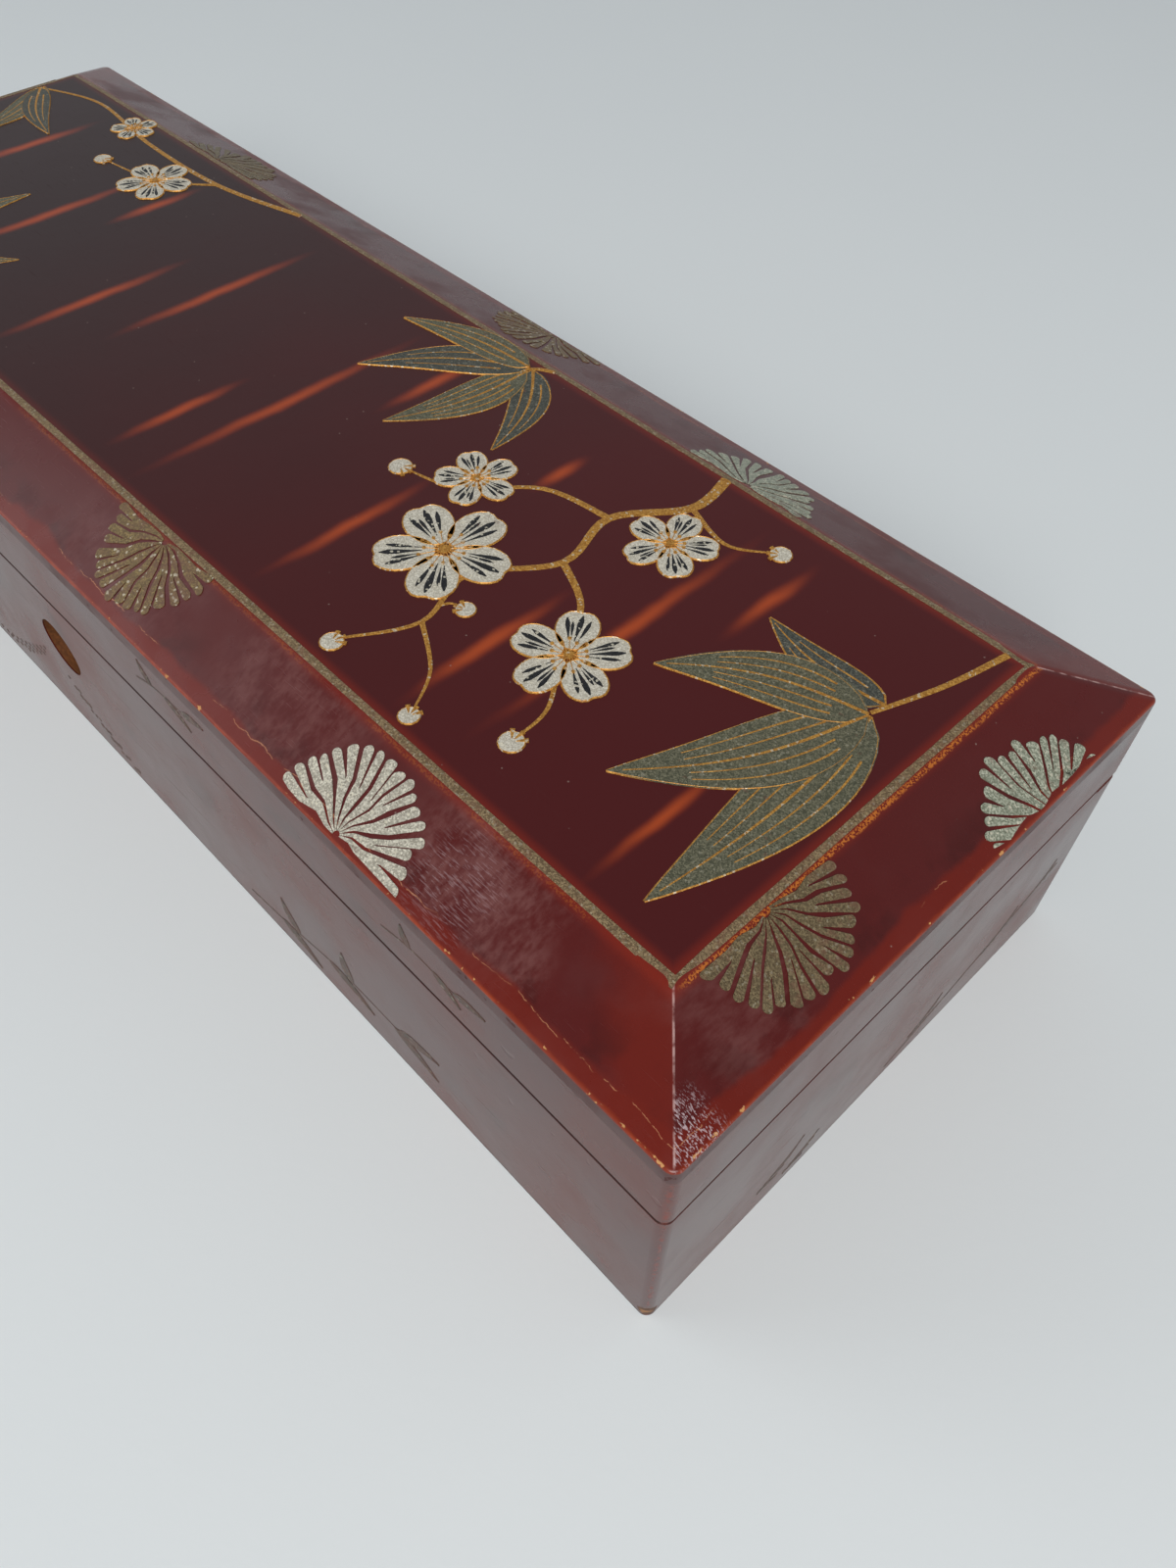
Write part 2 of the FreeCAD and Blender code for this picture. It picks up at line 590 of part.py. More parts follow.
def hinge_leaf(label, side, lid):
    """Makes one leaf of a hinge with its knuckles: two on the box, one between them on the lid."""
    middle = f"{side} * {HINGE_X}"
    start = f"{middle} - leaf_length / 2"
    low = AXIS_Z if lid else f"{AXIS_Z} - leaf_thick"
    plate = block(f"{label}_plate", ("leaf_length", "leaf_depth - barrel_radius - barrel_gap", "leaf_thick"),
                  (start, f"{AXIS_Y} - leaf_depth", low))
    pieces = [plate]
    for knuckle in ([1] if lid else [0, 2]):
        first = f"{start} + {knuckle} * leaf_length / 3 + barrel_gap / 2"
        pieces.append(block(f"{label}_root_{knuckle}",
                            ("leaf_length / 3 - barrel_gap", "barrel_radius + barrel_gap", "leaf_thick"),
                            (first, f"{AXIS_Y} - barrel_radius - barrel_gap", low)))
        pieces.append(rod(f"{label}_knuckle_{knuckle}", "barrel_radius", "leaf_length / 3 - barrel_gap",
                          (first, AXIS_Y, AXIS_Z), ALONG_X))
    blank = fuse(f"{label}_blank", pieces)
    bore = rod(f"{label}_bore", "pin_radius + running_fit", "leaf_length", (start, AXIS_Y, AXIS_Z), ALONG_X)
    tools = [bore] + nail_room(label, hinge_nail_places(side), UPSIDE_DOWN if lid else None)
    return node(cut(f"{label}_leaf", blank, tools), label)


def hinge_nail_places(side):
    """Gives the places of the nails of one hinge, on the line where its leaves meet."""
    return [(f"{side} * {HINGE_X} + {step} * hinge_nail_pitch / 2", f"{AXIS_Y} - hinge_nail_row", AXIS_Z)
            for step in (-1, 1)]


def make_hinges():
    """Makes both hinges, their pins and their nails."""
    for name, side in (("left", -1), ("right", 1)):
        hinge_leaf(f"{name}_hinge_box_leaf", side, lid=False)
        hinge_leaf(f"{name}_hinge_lid_leaf", side, lid=True)
        pin = rod(f"{name}_pin", "pin_radius", "leaf_length",
                  (f"{side} * {HINGE_X} - leaf_length / 2", AXIS_Y, AXIS_Z), ALONG_X)
        node(pin, f"{name}_hinge_pin")
    places = hinge_nail_places(-1) + hinge_nail_places(1)
    nails("hinge_box_nails", places)
    nails("hinge_lid_nails", places, UPSIDE_DOWN)


# Lock and strike, both placed from the inner face of the front wall at the top of that wall

LOCK_AT = ("0", f"-{INNER_Y}", "body_height")
KEY_X = "(-keyhole_shift)"
KEY_Z = "(-keyhole_drop)"
STAPLES = ["staple_left", "(staple_left + staple_pitch)"]
PLATE_FACE = f"(plate_thick - {INNER_Y})"


def make_lock():
    """Makes the lock: plate with top flange, case with drill pin, bolt, spring and nails."""
    plate = doc.addObject("PartDesign::Body", "lock_plate_body")
    place(plate, LOCK_AT)
    face = sketch(plate, "face", "XZ_Plane")
    rectangle(face, "-plate_half", "-plate_drop", "plate_half", "-flange_drop")
    pad(plate, face, "plate_thick", back=True)
    flange = sketch(plate, "flange", "XY_Plane", "-flange_drop - flange_thick")
    rectangle(flange, "-plate_half", "0", "plate_half", "case_depth")
    pad(plate, flange, "flange_thick")
    key = sketch(plate, "key", "XZ_Plane")
    circle(key, (KEY_X, KEY_Z), "key_barrel_radius")
    pocket(plate, key, "plate_thick")
    bit = sketch(plate, "bit", "XZ_Plane")
    rectangle(bit, f"{KEY_X} - key_bit_slot / 2", f"{KEY_Z} - key_bit_drop", f"{KEY_X} + key_bit_slot / 2", KEY_Z)
    pocket(plate, bit, "plate_thick")
    slots = sketch(plate, "slots", "XY_Plane", "-flange_drop")
    for left in STAPLES:
        rectangle(slots, f"{left} - slot_room", "staple_set - slot_room",
                  f"{left} + staple_thick + slot_room", "staple_set + staple_width + slot_room")
    pocket(plate, slots, "flange_thick")
    places = [(x, PLATE_FACE, z) for x, z in LOCK_NAILS]
    node(cut("lock_plate_solid", plate, nail_room("lock_plate", places, ALONG_Y)), "lock_plate")
    nails("lock_nails", places, ALONG_Y)

    outer = block("lock_case_outer", ("2 * case_half", "case_depth - plate_thick",
                                      "plate_drop - case_foot - flange_drop - flange_thick"),
                  ("-case_half", "plate_thick", "-(plate_drop - case_foot)"))
    hollow = block("lock_case_hollow",
                   ("2 * (case_half - case_wall)", "case_depth - plate_thick - case_wall",
                    "plate_drop - case_foot - flange_drop - flange_thick - case_wall"),
                   ("-(case_half - case_wall)", "plate_thick", "-(plate_drop - case_foot - case_wall)"))
    drill = rod("lock_drill_pin", "drill_radius", "case_depth - 0.5 * plate_thick - case_wall",
                (KEY_X, "0.5 * plate_thick", KEY_Z), ALONG_Y)
    case = fuse("lock_case_solid", [cut("lock_case_sheet", outer, [hollow]), drill])
    place(case, LOCK_AT)
    node(case, "lock_case")
    make_bolt()
    make_bolt_spring()


def make_bolt():
    """Makes the bolt: a bar with two hooks that slide into the staples, and a notch for the key's bit."""
    bolt = new_body("lock_bolt", LOCK_AT)
    side = sketch(bolt, "side", "XZ_Plane", "-bolt_set")
    tip = f"({STAPLES[0]} - 0.5)"
    post = f"({tip} - bolt_prong - bolt_post)"
    second = f"({tip} + staple_pitch)"
    bar_low = "(-bolt_bar_top - bolt_bar_height)"
    notch = f"({KEY_X} - bolt_travel / 2)"
    points = [
        (post, f"{bar_low} - talon_depth"),
        (f"{notch} - bolt_travel / 2", f"{bar_low} - talon_depth"),
        (f"{notch} - bolt_travel / 2", bar_low),
        (f"{notch} + bolt_travel / 2", bar_low),
        (f"{notch} + bolt_travel / 2", f"{bar_low} - talon_depth"),
        (f"{notch} + bolt_travel / 2 + 4", f"{bar_low} - talon_depth"),
        (f"{notch} + bolt_travel / 2 + 4", bar_low),
        (f"{second} + 2", bar_low),
        (f"{second} + 2", "-bolt_bar_top"),
        (f"{second} - bolt_prong", "-bolt_bar_top"),
        (f"{second} - bolt_prong", "-bolt_prong_top - bolt_prong_height"),
        (second, "-bolt_prong_top - bolt_prong_height"),
        (second, "-bolt_prong_top"),
        (f"{second} - bolt_prong - bolt_post", "-bolt_prong_top"),
        (f"{second} - bolt_prong - bolt_post", "-bolt_bar_top"),
        (f"{tip} - bolt_prong", "-bolt_bar_top"),
        (f"{tip} - bolt_prong", "-bolt_prong_top - bolt_prong_height"),
        (tip, "-bolt_prong_top - bolt_prong_height"),
        (tip, "-bolt_prong_top"),
        (post, "-bolt_prong_top"),
    ]
    polygon(side, points)
    pad(bolt, side, "bolt_thick", back=True)


def make_bolt_spring():
    """Makes the bolt's spring: a quarter of a ring that stands in the case's corner under the bar."""
    floor = value("-(plate_drop - case_foot - case_wall) + lock_play")
    radius = value("-bolt_bar_top - bolt_bar_height - lock_play") - floor
    right = value("case_half - case_wall - lock_play")
    depth = value("bolt_thick")
    thick = value("spring_thick")
    middle = FreeCAD.Vector(right - radius, value("bolt_set"), floor)
    outer = Part.makeCylinder(radius, depth, middle, FreeCAD.Vector(0, 1, 0))
    inner = Part.makeCylinder(radius - thick, depth, middle, FreeCAD.Vector(0, 1, 0))
    quarter = Part.makeBox(radius, depth, radius, middle)
    spring = doc.addObject("Part::Feature", "lock_spring_strip")
    spring.Shape = outer.cut(inner).common(quarter)
    place(spring, LOCK_AT)
    node(spring, "lock_spring")


def make_strike():
    """Makes the strike: a plate on the lid's front wall with two staples that reach into the lock."""
    body = doc.addObject("PartDesign::Body", "strike_plate_body")
    place(body, LOCK_AT)
    face = sketch(body, "face", "XZ_Plane")
    rectangle(face, "-strike_half", "seam_gap", "strike_half", "seam_gap + strike_height")
    pad(body, face, "plate_thick", back=True)
    foot = sketch(body, "foot", "XY_Plane", "seam_gap")
    rectangle(foot, "-strike_half", "0", "strike_half", "case_depth")
    pad(body, foot, "plate_thick")
    staples = sketch(body, "staples", "XY_Plane", "-staple_drop")
    for left in STAPLES:
        rectangle(staples, left, "staple_set", f"{left} + staple_thick", "staple_set + staple_width")
    pad(body, staples, "staple_drop + seam_gap")
    window = sketch(body, "window", "YZ_Plane", f"{STAPLES[1]} + staple_thick")
    rectangle(window, "staple_set + staple_rim", "-window_low",
              "staple_set + staple_width - staple_rim", "-window_high")
    pocket(body, window, "staple_pitch + staple_thick")
    places = [(x, PLATE_FACE, f"{LID_Z} + {z}") for x, z in STRIKE_NAILS]
    node(cut("strike_plate_solid", body, nail_room("strike_plate", places, ALONG_Y)), "strike_plate")
    nails("strike_nails", places, ALONG_Y)


# Tray

STONE_WALL = f"(-{TRAY_END} + rail_thick + stone_length + 2 * stone_room)"
DROPPER_WALL = f"({STONE_WALL} + divider_thick + dropper_length + 2 * dropper_room)"
BAY_WALL = f"({TRAY_BACK} - rail_thick - brush_bay - divider_thick)"
BAY_DEPTH = f"({BAY_WALL} - {TRAY_FRONT} - rail_thick)"
BAY_Y = f"(({TRAY_FRONT} + rail_thick + {BAY_WALL}) / 2)"


def make_tray():
    """Makes the lift-out tray: bottom, rails, dividers and the brush rests."""
    bottom = new_body("tray_bottom", ("0", "0", "bottom_thick"))
    plan = sketch(bottom, "plan", "XY_Plane")
    rectangle(plan, f"-({TRAY_END} - rail_thick)", f"{TRAY_FRONT} + rail_thick",
              f"{TRAY_END} - rail_thick", f"{TRAY_BACK} - rail_thick")
    pad(bottom, plan, "tray_bottom")

    for label, low, high in (("tray_front_rail", TRAY_FRONT, f"{TRAY_FRONT} + rail_thick"),
                             ("tray_back_rail", f"{TRAY_BACK} - rail_thick", TRAY_BACK)):
        rail = new_body(label, ("0", "0", "bottom_thick"))
        plan = sketch(rail, "plan", "XY_Plane")
        rectangle(plan, f"-{TRAY_END}", low, TRAY_END, high)
        pad(rail, plan, "tray_height")
        soften(rail, "Fillet", edges_on(rail.Tip, z=value("tray_height"), y=value(low))
               + edges_on(rail.Tip, z=value("tray_height"), y=value(high)), "rail_round")
    for label, side in (("tray_left_rail", -1), ("tray_right_rail", 1)):
        rail = new_body(label, ("0", "0", "bottom_thick"))
        plan = sketch(rail, "plan", "XY_Plane")
        xs = sorted([f"{side} * {TRAY_END}", f"{side} * ({TRAY_END} - rail_thick)"], key=value)
        rectangle(plan, xs[0], f"{TRAY_FRONT} + rail_thick", xs[1], f"{TRAY_BACK} - rail_thick")
        pad(rail, plan, "tray_height")
        soften(rail, "Fillet", edges_on(rail.Tip, z=value("tray_height"), x=value(xs[0]))
               + edges_on(rail.Tip, z=value("tray_height"), x=value(xs[1])), "rail_round")

    low_x, high_x = f"-({TRAY_END} - rail_thick)", f"{TRAY_END} - rail_thick"
    low_y = f"{TRAY_FRONT} + rail_thick"
    for label, x0, y0, x1, y1 in (
            ("brush_divider", low_x, BAY_WALL, high_x, f"{BAY_WALL} + divider_thick"),
            ("inkstone_divider", STONE_WALL, low_y, f"{STONE_WALL} + divider_thick", BAY_WALL),
            ("dropper_divider", DROPPER_WALL, low_y, f"{DROPPER_WALL} + divider_thick", BAY_WALL)):
        divider = new_body(label, ("0", "0", TRAY_Z))
        plan = sketch(divider, "plan", "XY_Plane")
        rectangle(plan, x0, y0, x1, y1)
        pad(divider, plan, "divider_height")
        ends = {"y": (y0, y1)} if label == "brush_divider" else {"x": (x0, x1)}
        for axis, pair in ends.items():
            names = []
            for text in pair:
                names += edges_on(divider.Tip, z=value("divider_height"), **{axis: value(text)})
            soften(divider, "Fillet", names, "rail_round")
    make_brush_rests()


BRUSH_START = "(-(brush_shaft + brush_collar + brush_hair) / 2)"
BRUSH_Y = f"({TRAY_BACK} - rail_thick - brush_bay / 2)"
BRUSH_Z = f"({TRAY_Z} + rest_height)"


def make_brush_rests():
    """Makes the two notched bars that the brushes lie in."""
    for label, place_x in (("left_brush_rest", f"{BRUSH_START} + rest_from_butt"),
                           ("right_brush_rest", f"{BRUSH_START} + brush_shaft - rest_from_collar")):
        rest = new_body(label, (place_x, "0", TRAY_Z))
        plan = sketch(rest, "plan", "XY_Plane")
        rectangle(plan, "-rest_thick / 2", f"{TRAY_BACK} - rail_thick - brush_bay",
                  "rest_thick / 2", f"{TRAY_BACK} - rail_thick")
        pad(rest, plan, "rest_height")
        notch = sketch(rest, "notch", "YZ_Plane", "rest_thick / 2")
        for step in (-1, 1):
            circle(notch, (f"{BRUSH_Y} + {step} * brush_pitch / 2", "rest_height"), "brush_radius + rest_room")
        pocket(rest, notch, "rest_thick")


# Writing things in the tray

STONE_X = f"(-{TRAY_END} + rail_thick + stone_room + stone_length / 2)"
HALF_STONE = f"({BAY_DEPTH} / 2 - stone_margin)"


def make_inkstone():
    """Makes the inkstone: a slab with a rim, a sunk grinding face and a slope down to an ink pool."""
    body = new_body("inkstone", (STONE_X, BAY_Y, TRAY_Z))
    plan = sketch(body, "plan", "XY_Plane")
    rectangle(plan, "-stone_length / 2", f"-{HALF_STONE}", "stone_length / 2", HALF_STONE)
    slab = pad(body, plan, "stone_height")
    upright = []
    for x_side in (-1, 1):
        for y_side in (-1, 1):
            upright += edges_on(slab, x=x_side * value("stone_length / 2"), y=y_side * value(HALF_STONE))
    soften(body, "Fillet", upright, "stone_corner")
    side = sketch(body, "basin", "XZ_Plane", f"{HALF_STONE} - stone_rim")
    left = "(-stone_length / 2 + stone_rim)"
    right = "(stone_length / 2 - stone_rim)"
    face = "(stone_height - stone_face_depth)"
    polygon(side, [
        (left, "stone_height - pool_depth"),
        (f"{left} + pool_length", "stone_height - pool_depth"),
        (f"{left} + pool_length + pool_slope", face),
        (right, face),
        (right, "stone_height + 1"),
        (left, "stone_height + 1"),
    ])
    pocket(body, side, f"2 * ({HALF_STONE} - stone_rim)")
    soften(body, "Chamfer", edges_on(body.Tip, z=value("stone_height")), "stone_edge")


def make_ink_stick():
    """Makes the ink stick: a rounded bar with a sunk panel on its upper face."""
    middle = f"(({DROPPER_WALL} + divider_thick + {TRAY_END} - rail_thick) / 2)"
    half_length = f"(({TRAY_END} - rail_thick - {DROPPER_WALL} - divider_thick) / 2 - stick_room)"
    body = new_body("ink_stick", (middle, BAY_Y, TRAY_Z))
    plan = sketch(body, "plan", "XY_Plane")
    rectangle(plan, f"-{half_length}", "-stick_width / 2", half_length, "stick_width / 2")
    pad(body, plan, "stick_height")
    panel = sketch(body, "panel", "XY_Plane", "stick_height")
    rectangle(panel, f"-{half_length} + stick_panel_inset", "-stick_width / 2 + stick_panel_inset",
              f"{half_length} - stick_panel_inset", "stick_width / 2 - stick_panel_inset")
    long_edges = []
    for x_side in (-1, 1):
        for y_side in (-1, 1):
            long_edges += edges_on(body.Tip, x=x_side * value(half_length),
                                   y=y_side * value("stick_width / 2"))
    for y_side in (-1, 1):
        long_edges += edges_on(body.Tip, y=y_side * value("stick_width / 2"), z=value("stick_height"))
    for x_side in (-1, 1):
        long_edges += edges_on(body.Tip, x=x_side * value(half_length), z=value("stick_height"))
    soften(body, "Chamfer", long_edges, "stick_bevel")
    pocket(body, panel, "stick_panel_depth")


def cut_corners(half_x, half_y, corner):
    """Gives the eight corners of a rectangle whose own corners are cut off."""
    short_x, short_y = f"({half_x} - {corner})", f"({half_y} - {corner})"
    return [(f"-{short_x}", f"-{half_y}"), (short_x, f"-{half_y}"), (half_x, f"-{short_y}"), (half_x, short_y),
            (short_x, half_y), (f"-{short_x}", half_y), (f"-{half_x}", short_y), (f"-{half_x}", f"-{short_y}")]


def make_water_dropper():
    """Makes the water dropper: an eight-sided hollow shell with a spout and an air hole, and its base plate."""
    middle = f"({STONE_WALL} + divider_thick + dropper_room + dropper_length / 2)"
    shell = new_body("water_dropper_shell", (middle, BAY_Y, TRAY_Z))
    plan = sketch(shell, "plan", "XY_Plane")
    polygon(plan, cut_corners("(dropper_length / 2)", "(dropper_width / 2)", "dropper_corner"))
    pad(shell, plan, "dropper_height")
    soften(shell, "Chamfer", edges_on(shell.Tip, z=value("dropper_height")), "dropper_brow")
    inside = cut_corners("(dropper_length / 2 - dropper_sheet)", "(dropper_width / 2 - dropper_sheet)",
                         "(dropper_corner - 0.6 * dropper_sheet)")
    hollow = sketch(shell, "hollow", "XY_Plane")
    polygon(hollow, inside)
    pocket(shell, hollow, "dropper_height - dropper_brow", along=True)
    spout = sketch(shell, "spout", "XY_Plane", "dropper_height")
    circle(spout, ("-dropper_length / 2 + spout_set", "0"), "spout_radius")
    pad(shell, spout, "spout_height")
    holes = sketch(shell, "holes", "XY_Plane", "dropper_height + spout_height")
    for side in (-1, 1):
        circle(holes, (f"{side} * (dropper_length / 2 - spout_set)", "0"), "dropper_hole")
    pocket(shell, holes, "spout_height + dropper_brow")

    base = new_body("water_dropper_base", (middle, BAY_Y, TRAY_Z))
    plan = sketch(base, "plan", "XY_Plane")
    polygon(plan, inside)
    pad(base, plan, "dropper_sheet")


def make_brushes():
    """Makes the brushes: a bamboo shaft, a collar and a pointed tuft of hair each, end to end."""
    for name, side in (("front", -1), ("back", 1)):
        brush_y = f"{BRUSH_Y} + {side} * brush_pitch / 2"
        shaft = rod(f"{name}_shaft", "brush_radius", "brush_shaft", (BRUSH_START, brush_y, BRUSH_Z), ALONG_X)
        node(shaft, f"{name}_brush_shaft")
        collar = rod(f"{name}_collar", "brush_radius + collar_swell", "brush_collar",
                     (f"{BRUSH_START} + brush_shaft", brush_y, BRUSH_Z), ALONG_X)
        node(collar, f"{name}_brush_collar")
        hair_from = f"{BRUSH_START} + brush_shaft + brush_collar"
        thick = "2 * hair_share * brush_radius"
        root = eight_sided_taper(f"{name}_hair_root", thick, thick, "hair_body", (hair_from, brush_y, BRUSH_Z))
        point = eight_sided_taper(f"{name}_hair_point", thick, f"(1 - hair_taper) * {thick}",
                                  "brush_hair - hair_body", (f"{hair_from} + hair_body", brush_y, BRUSH_Z))
        node(fuse(f"{name}_hair_tuft", [root, point]), f"{name}_brush_hair")


def check_and_write():
    """Stops on any failed object or bad solid, then writes one file for each piece."""
    doc.recompute()
    for item in doc.Objects:
        if "Invalid" in item.State or "Error" in item.State:
            raise RuntimeError(f"{item.Name} failed: {item.State}")
    for item in nodes:
        if item.Shape.isNull() or not item.Shape.isValid() or item.Shape.Volume < 0.01:
            raise RuntimeError(f"{item.Label} has no valid solid")
    os.makedirs("parts", exist_ok=True)
    for item in nodes:
        item.Shape.exportStep(f"parts/{item.Label}.step")
        print(f"{item.Label}: {len(item.Shape.Solids)} solid, {item.Shape.Volume:.0f} mm3")


fill_sheet()
make_box_walls()
make_lid()
make_hinges()
make_lock()
make_strike()
make_tray()
make_inkstone()
make_ink_stick()
make_water_dropper()
make_brushes()
check_and_write()
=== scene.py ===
"""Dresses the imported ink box: lacquer, gold powder, metal fittings, the tray and what lies in it.

Lengths in the classes are in millimetres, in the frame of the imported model. Meshes are made in metres.
"""

import functools
import json
import logging
import math
import random
from collections.abc import Callable, Iterable, Sequence
from dataclasses import dataclass, field
from enum import Enum

import bmesh
import bpy
from mathutils import Matrix, Vector


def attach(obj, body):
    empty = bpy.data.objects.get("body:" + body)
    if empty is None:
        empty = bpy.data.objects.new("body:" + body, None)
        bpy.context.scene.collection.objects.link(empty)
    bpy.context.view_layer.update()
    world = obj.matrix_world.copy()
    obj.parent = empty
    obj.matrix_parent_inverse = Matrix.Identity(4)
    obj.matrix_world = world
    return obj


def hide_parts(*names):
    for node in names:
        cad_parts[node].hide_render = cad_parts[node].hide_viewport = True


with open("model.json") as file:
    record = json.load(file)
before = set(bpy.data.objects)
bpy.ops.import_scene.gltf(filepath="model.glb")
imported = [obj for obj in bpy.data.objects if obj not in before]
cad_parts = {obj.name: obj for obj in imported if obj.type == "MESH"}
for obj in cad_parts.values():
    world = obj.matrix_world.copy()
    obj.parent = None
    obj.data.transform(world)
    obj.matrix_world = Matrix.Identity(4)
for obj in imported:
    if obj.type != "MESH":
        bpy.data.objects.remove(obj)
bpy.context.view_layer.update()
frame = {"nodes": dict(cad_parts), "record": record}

Point = tuple[float, float]
Place = tuple[float, float, float]
Tone = tuple[float, float, float, float]
Lift = Callable[[float, float, float], Place]

LOG = logging.getLogger("ink_box")


# Small tools

def tone(red: float, green: float, blue: float) -> Tone:
    """Turns a colour as the eye reads it into the linear colour of a shader.

    Args:
        red: Red, 0 to 255.
        green: Green, 0 to 255.
        blue: Blue, 0 to 255.

    Returns:
        The linear colour with full alpha.
    """
    parts = [part / 255 for part in (red, green, blue)]
    line = [part / 12.92 if part <= 0.04045 else ((part + 0.055) / 1.055) ** 2.4 for part in parts]
    return (line[0], line[1], line[2], 1.0)


def metres(place: Iterable[float]) -> Vector:
    """Turns a place in millimetres into metres."""
    return Vector([0.001 * part for part in place])


def along(start: float, end: float, count: int) -> list[float]:
    """Gives evenly spaced numbers from start to end, both included."""
    return [start + (end - start) * number / (count - 1) for number in range(count)]


def circle(at: Point, radius: float, count: int) -> list[Point]:
    """Gives evenly spaced points on a circle."""
    return [(at[0] + radius * math.cos(turn), at[1] + radius * math.sin(turn))
            for turn in along(0, 2 * math.pi, count + 1)[:-1]]


def sweep(points: Sequence[Point], count: int) -> list[Point]:
    """Runs a smooth curve through points.

    Args:
        points: The points that the curve passes.
        count: How many points each span gets.

    Returns:
        The points of the curve, with the last one included.
    """
    padded = [points[0], *points, points[-1]]
    curve: list[Point] = []
    for a, b, c, d in zip(padded, padded[1:], padded[2:], padded[3:]):
        for number in range(count):
            t = number / count
            curve.append(tuple(
                0.5 * (2 * b[i] + (c[i] - a[i]) * t + (2 * a[i] - 5 * b[i] + 4 * c[i] - d[i]) * t * t
                       + (3 * b[i] - a[i] - 3 * c[i] + d[i]) * t ** 3)
                for i in (0, 1)))
    return [*curve, points[-1]]


def placed(name: str, data: bpy.types.ID) -> bpy.types.Object:
    """Puts a mesh, lamp or camera into the scene."""
    thing = bpy.data.objects.new(name, data)
    bpy.context.scene.collection.objects.link(thing)
    return thing


def keep(mesh: bpy.types.Mesh, name: str, body: str, finish: bpy.types.Material,
         nodes: Sequence[str] = ()) -> bpy.types.Object:
    """Makes a finished mesh a piece of the box.

    Args:
        mesh: The mesh, in place.
        name: The piece's name.
        body: The body that it rides on.
        finish: The material.
        nodes: The CAD nodes that the piece stands for.

    Returns:
        The piece's object.
    """
    mesh.name = name
    mesh.materials.clear()
    mesh.materials.append(finish)
    piece = placed(name, mesh)
    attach(piece, body)
    if nodes:
        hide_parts(*nodes)
    LOG.info("%s: %d faces, rides on %s", name, len(mesh.polygons), body)
    return piece


def dress(finish: bpy.types.Material, *nodes: str) -> None:
    """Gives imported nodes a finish."""
    for name in nodes:
        mesh = frame["nodes"][name].data
        mesh.materials.clear()
        mesh.materials.append(finish)
        LOG.info("%s: dressed in %s", name, finish.name)


def body_of(node: str) -> str:
    """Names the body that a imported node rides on."""
    bodies = frame["record"]["behaviour"]["bodies"]
    return next(name for name, nodes in bodies.items() if node in nodes)


def softened(node: str, width: float, finish: bpy.types.Material,
             steps: int = 2) -> bpy.types.Object:
    """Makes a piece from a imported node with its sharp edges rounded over.

    Args:
        node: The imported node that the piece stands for.
        width: Width of the rounding, in millimetres.
        finish: The piece's material.
        steps: How many faces the rounding has.

    Returns:
        The piece's object, with a live bevel.
    """
    mesh = frame["nodes"][node].data.copy()
    shape = bmesh.new()
    shape.from_mesh(mesh)
    bmesh.ops.remove_doubles(shape, verts=shape.verts, dist=2e-6)
    bmesh.ops.dissolve_limit(shape, angle_limit=math.radians(1.0), verts=shape.verts, edges=shape.edges)
    for face in shape.faces:
        face.smooth = True
    shape.to_mesh(mesh)
    shape.free()
    mesh.set_sharp_from_angle(angle=math.radians(40))
    piece = keep(mesh, f"{node}_finished", body_of(node), finish, [node])
    rounding = piece.modifiers.new("Rounding", "BEVEL")
    rounding.width = 0.001 * width
    rounding.segments = steps
    rounding.limit_method = "ANGLE"
    rounding.angle_limit = math.radians(40)
    rounding.harden_normals = True
    return piece


# Node trees

def joined(operation: str, swapped: bool = False) -> "Callable[[Signal, Signal | float], Signal]":
    """Makes the method of a signal that adds one kind of Math node.

    Args:
        operation: What the node does.
        swapped: Whether the other value comes first.

    Returns:
        The method.
    """
    def method(signal: "Signal", other: "Signal | float") -> "Signal":
        """Adds the node and gives its result."""
        pair = (other, signal) if swapped else (signal, other)
        return signal.graph.maths(operation, *pair)

    return method


@dataclass(frozen=True)
class Signal:
    """A socket of a node tree, on which Python's operators add Math nodes."""

    graph: "Graph"
    socket: bpy.types.NodeSocket

    def __abs__(self) -> "Signal":
        """Gives the size without the sign."""
        return self.graph.maths("ABSOLUTE", self)

    __add__ = __radd__ = joined("ADD")
    __sub__ = joined("SUBTRACT")
    __rsub__ = joined("SUBTRACT", swapped=True)
    __mul__ = __rmul__ = joined("MULTIPLY")
    __truediv__ = joined("DIVIDE")
    __pow__ = joined("POWER")
    least = joined("MINIMUM")
    most = joined("MAXIMUM")


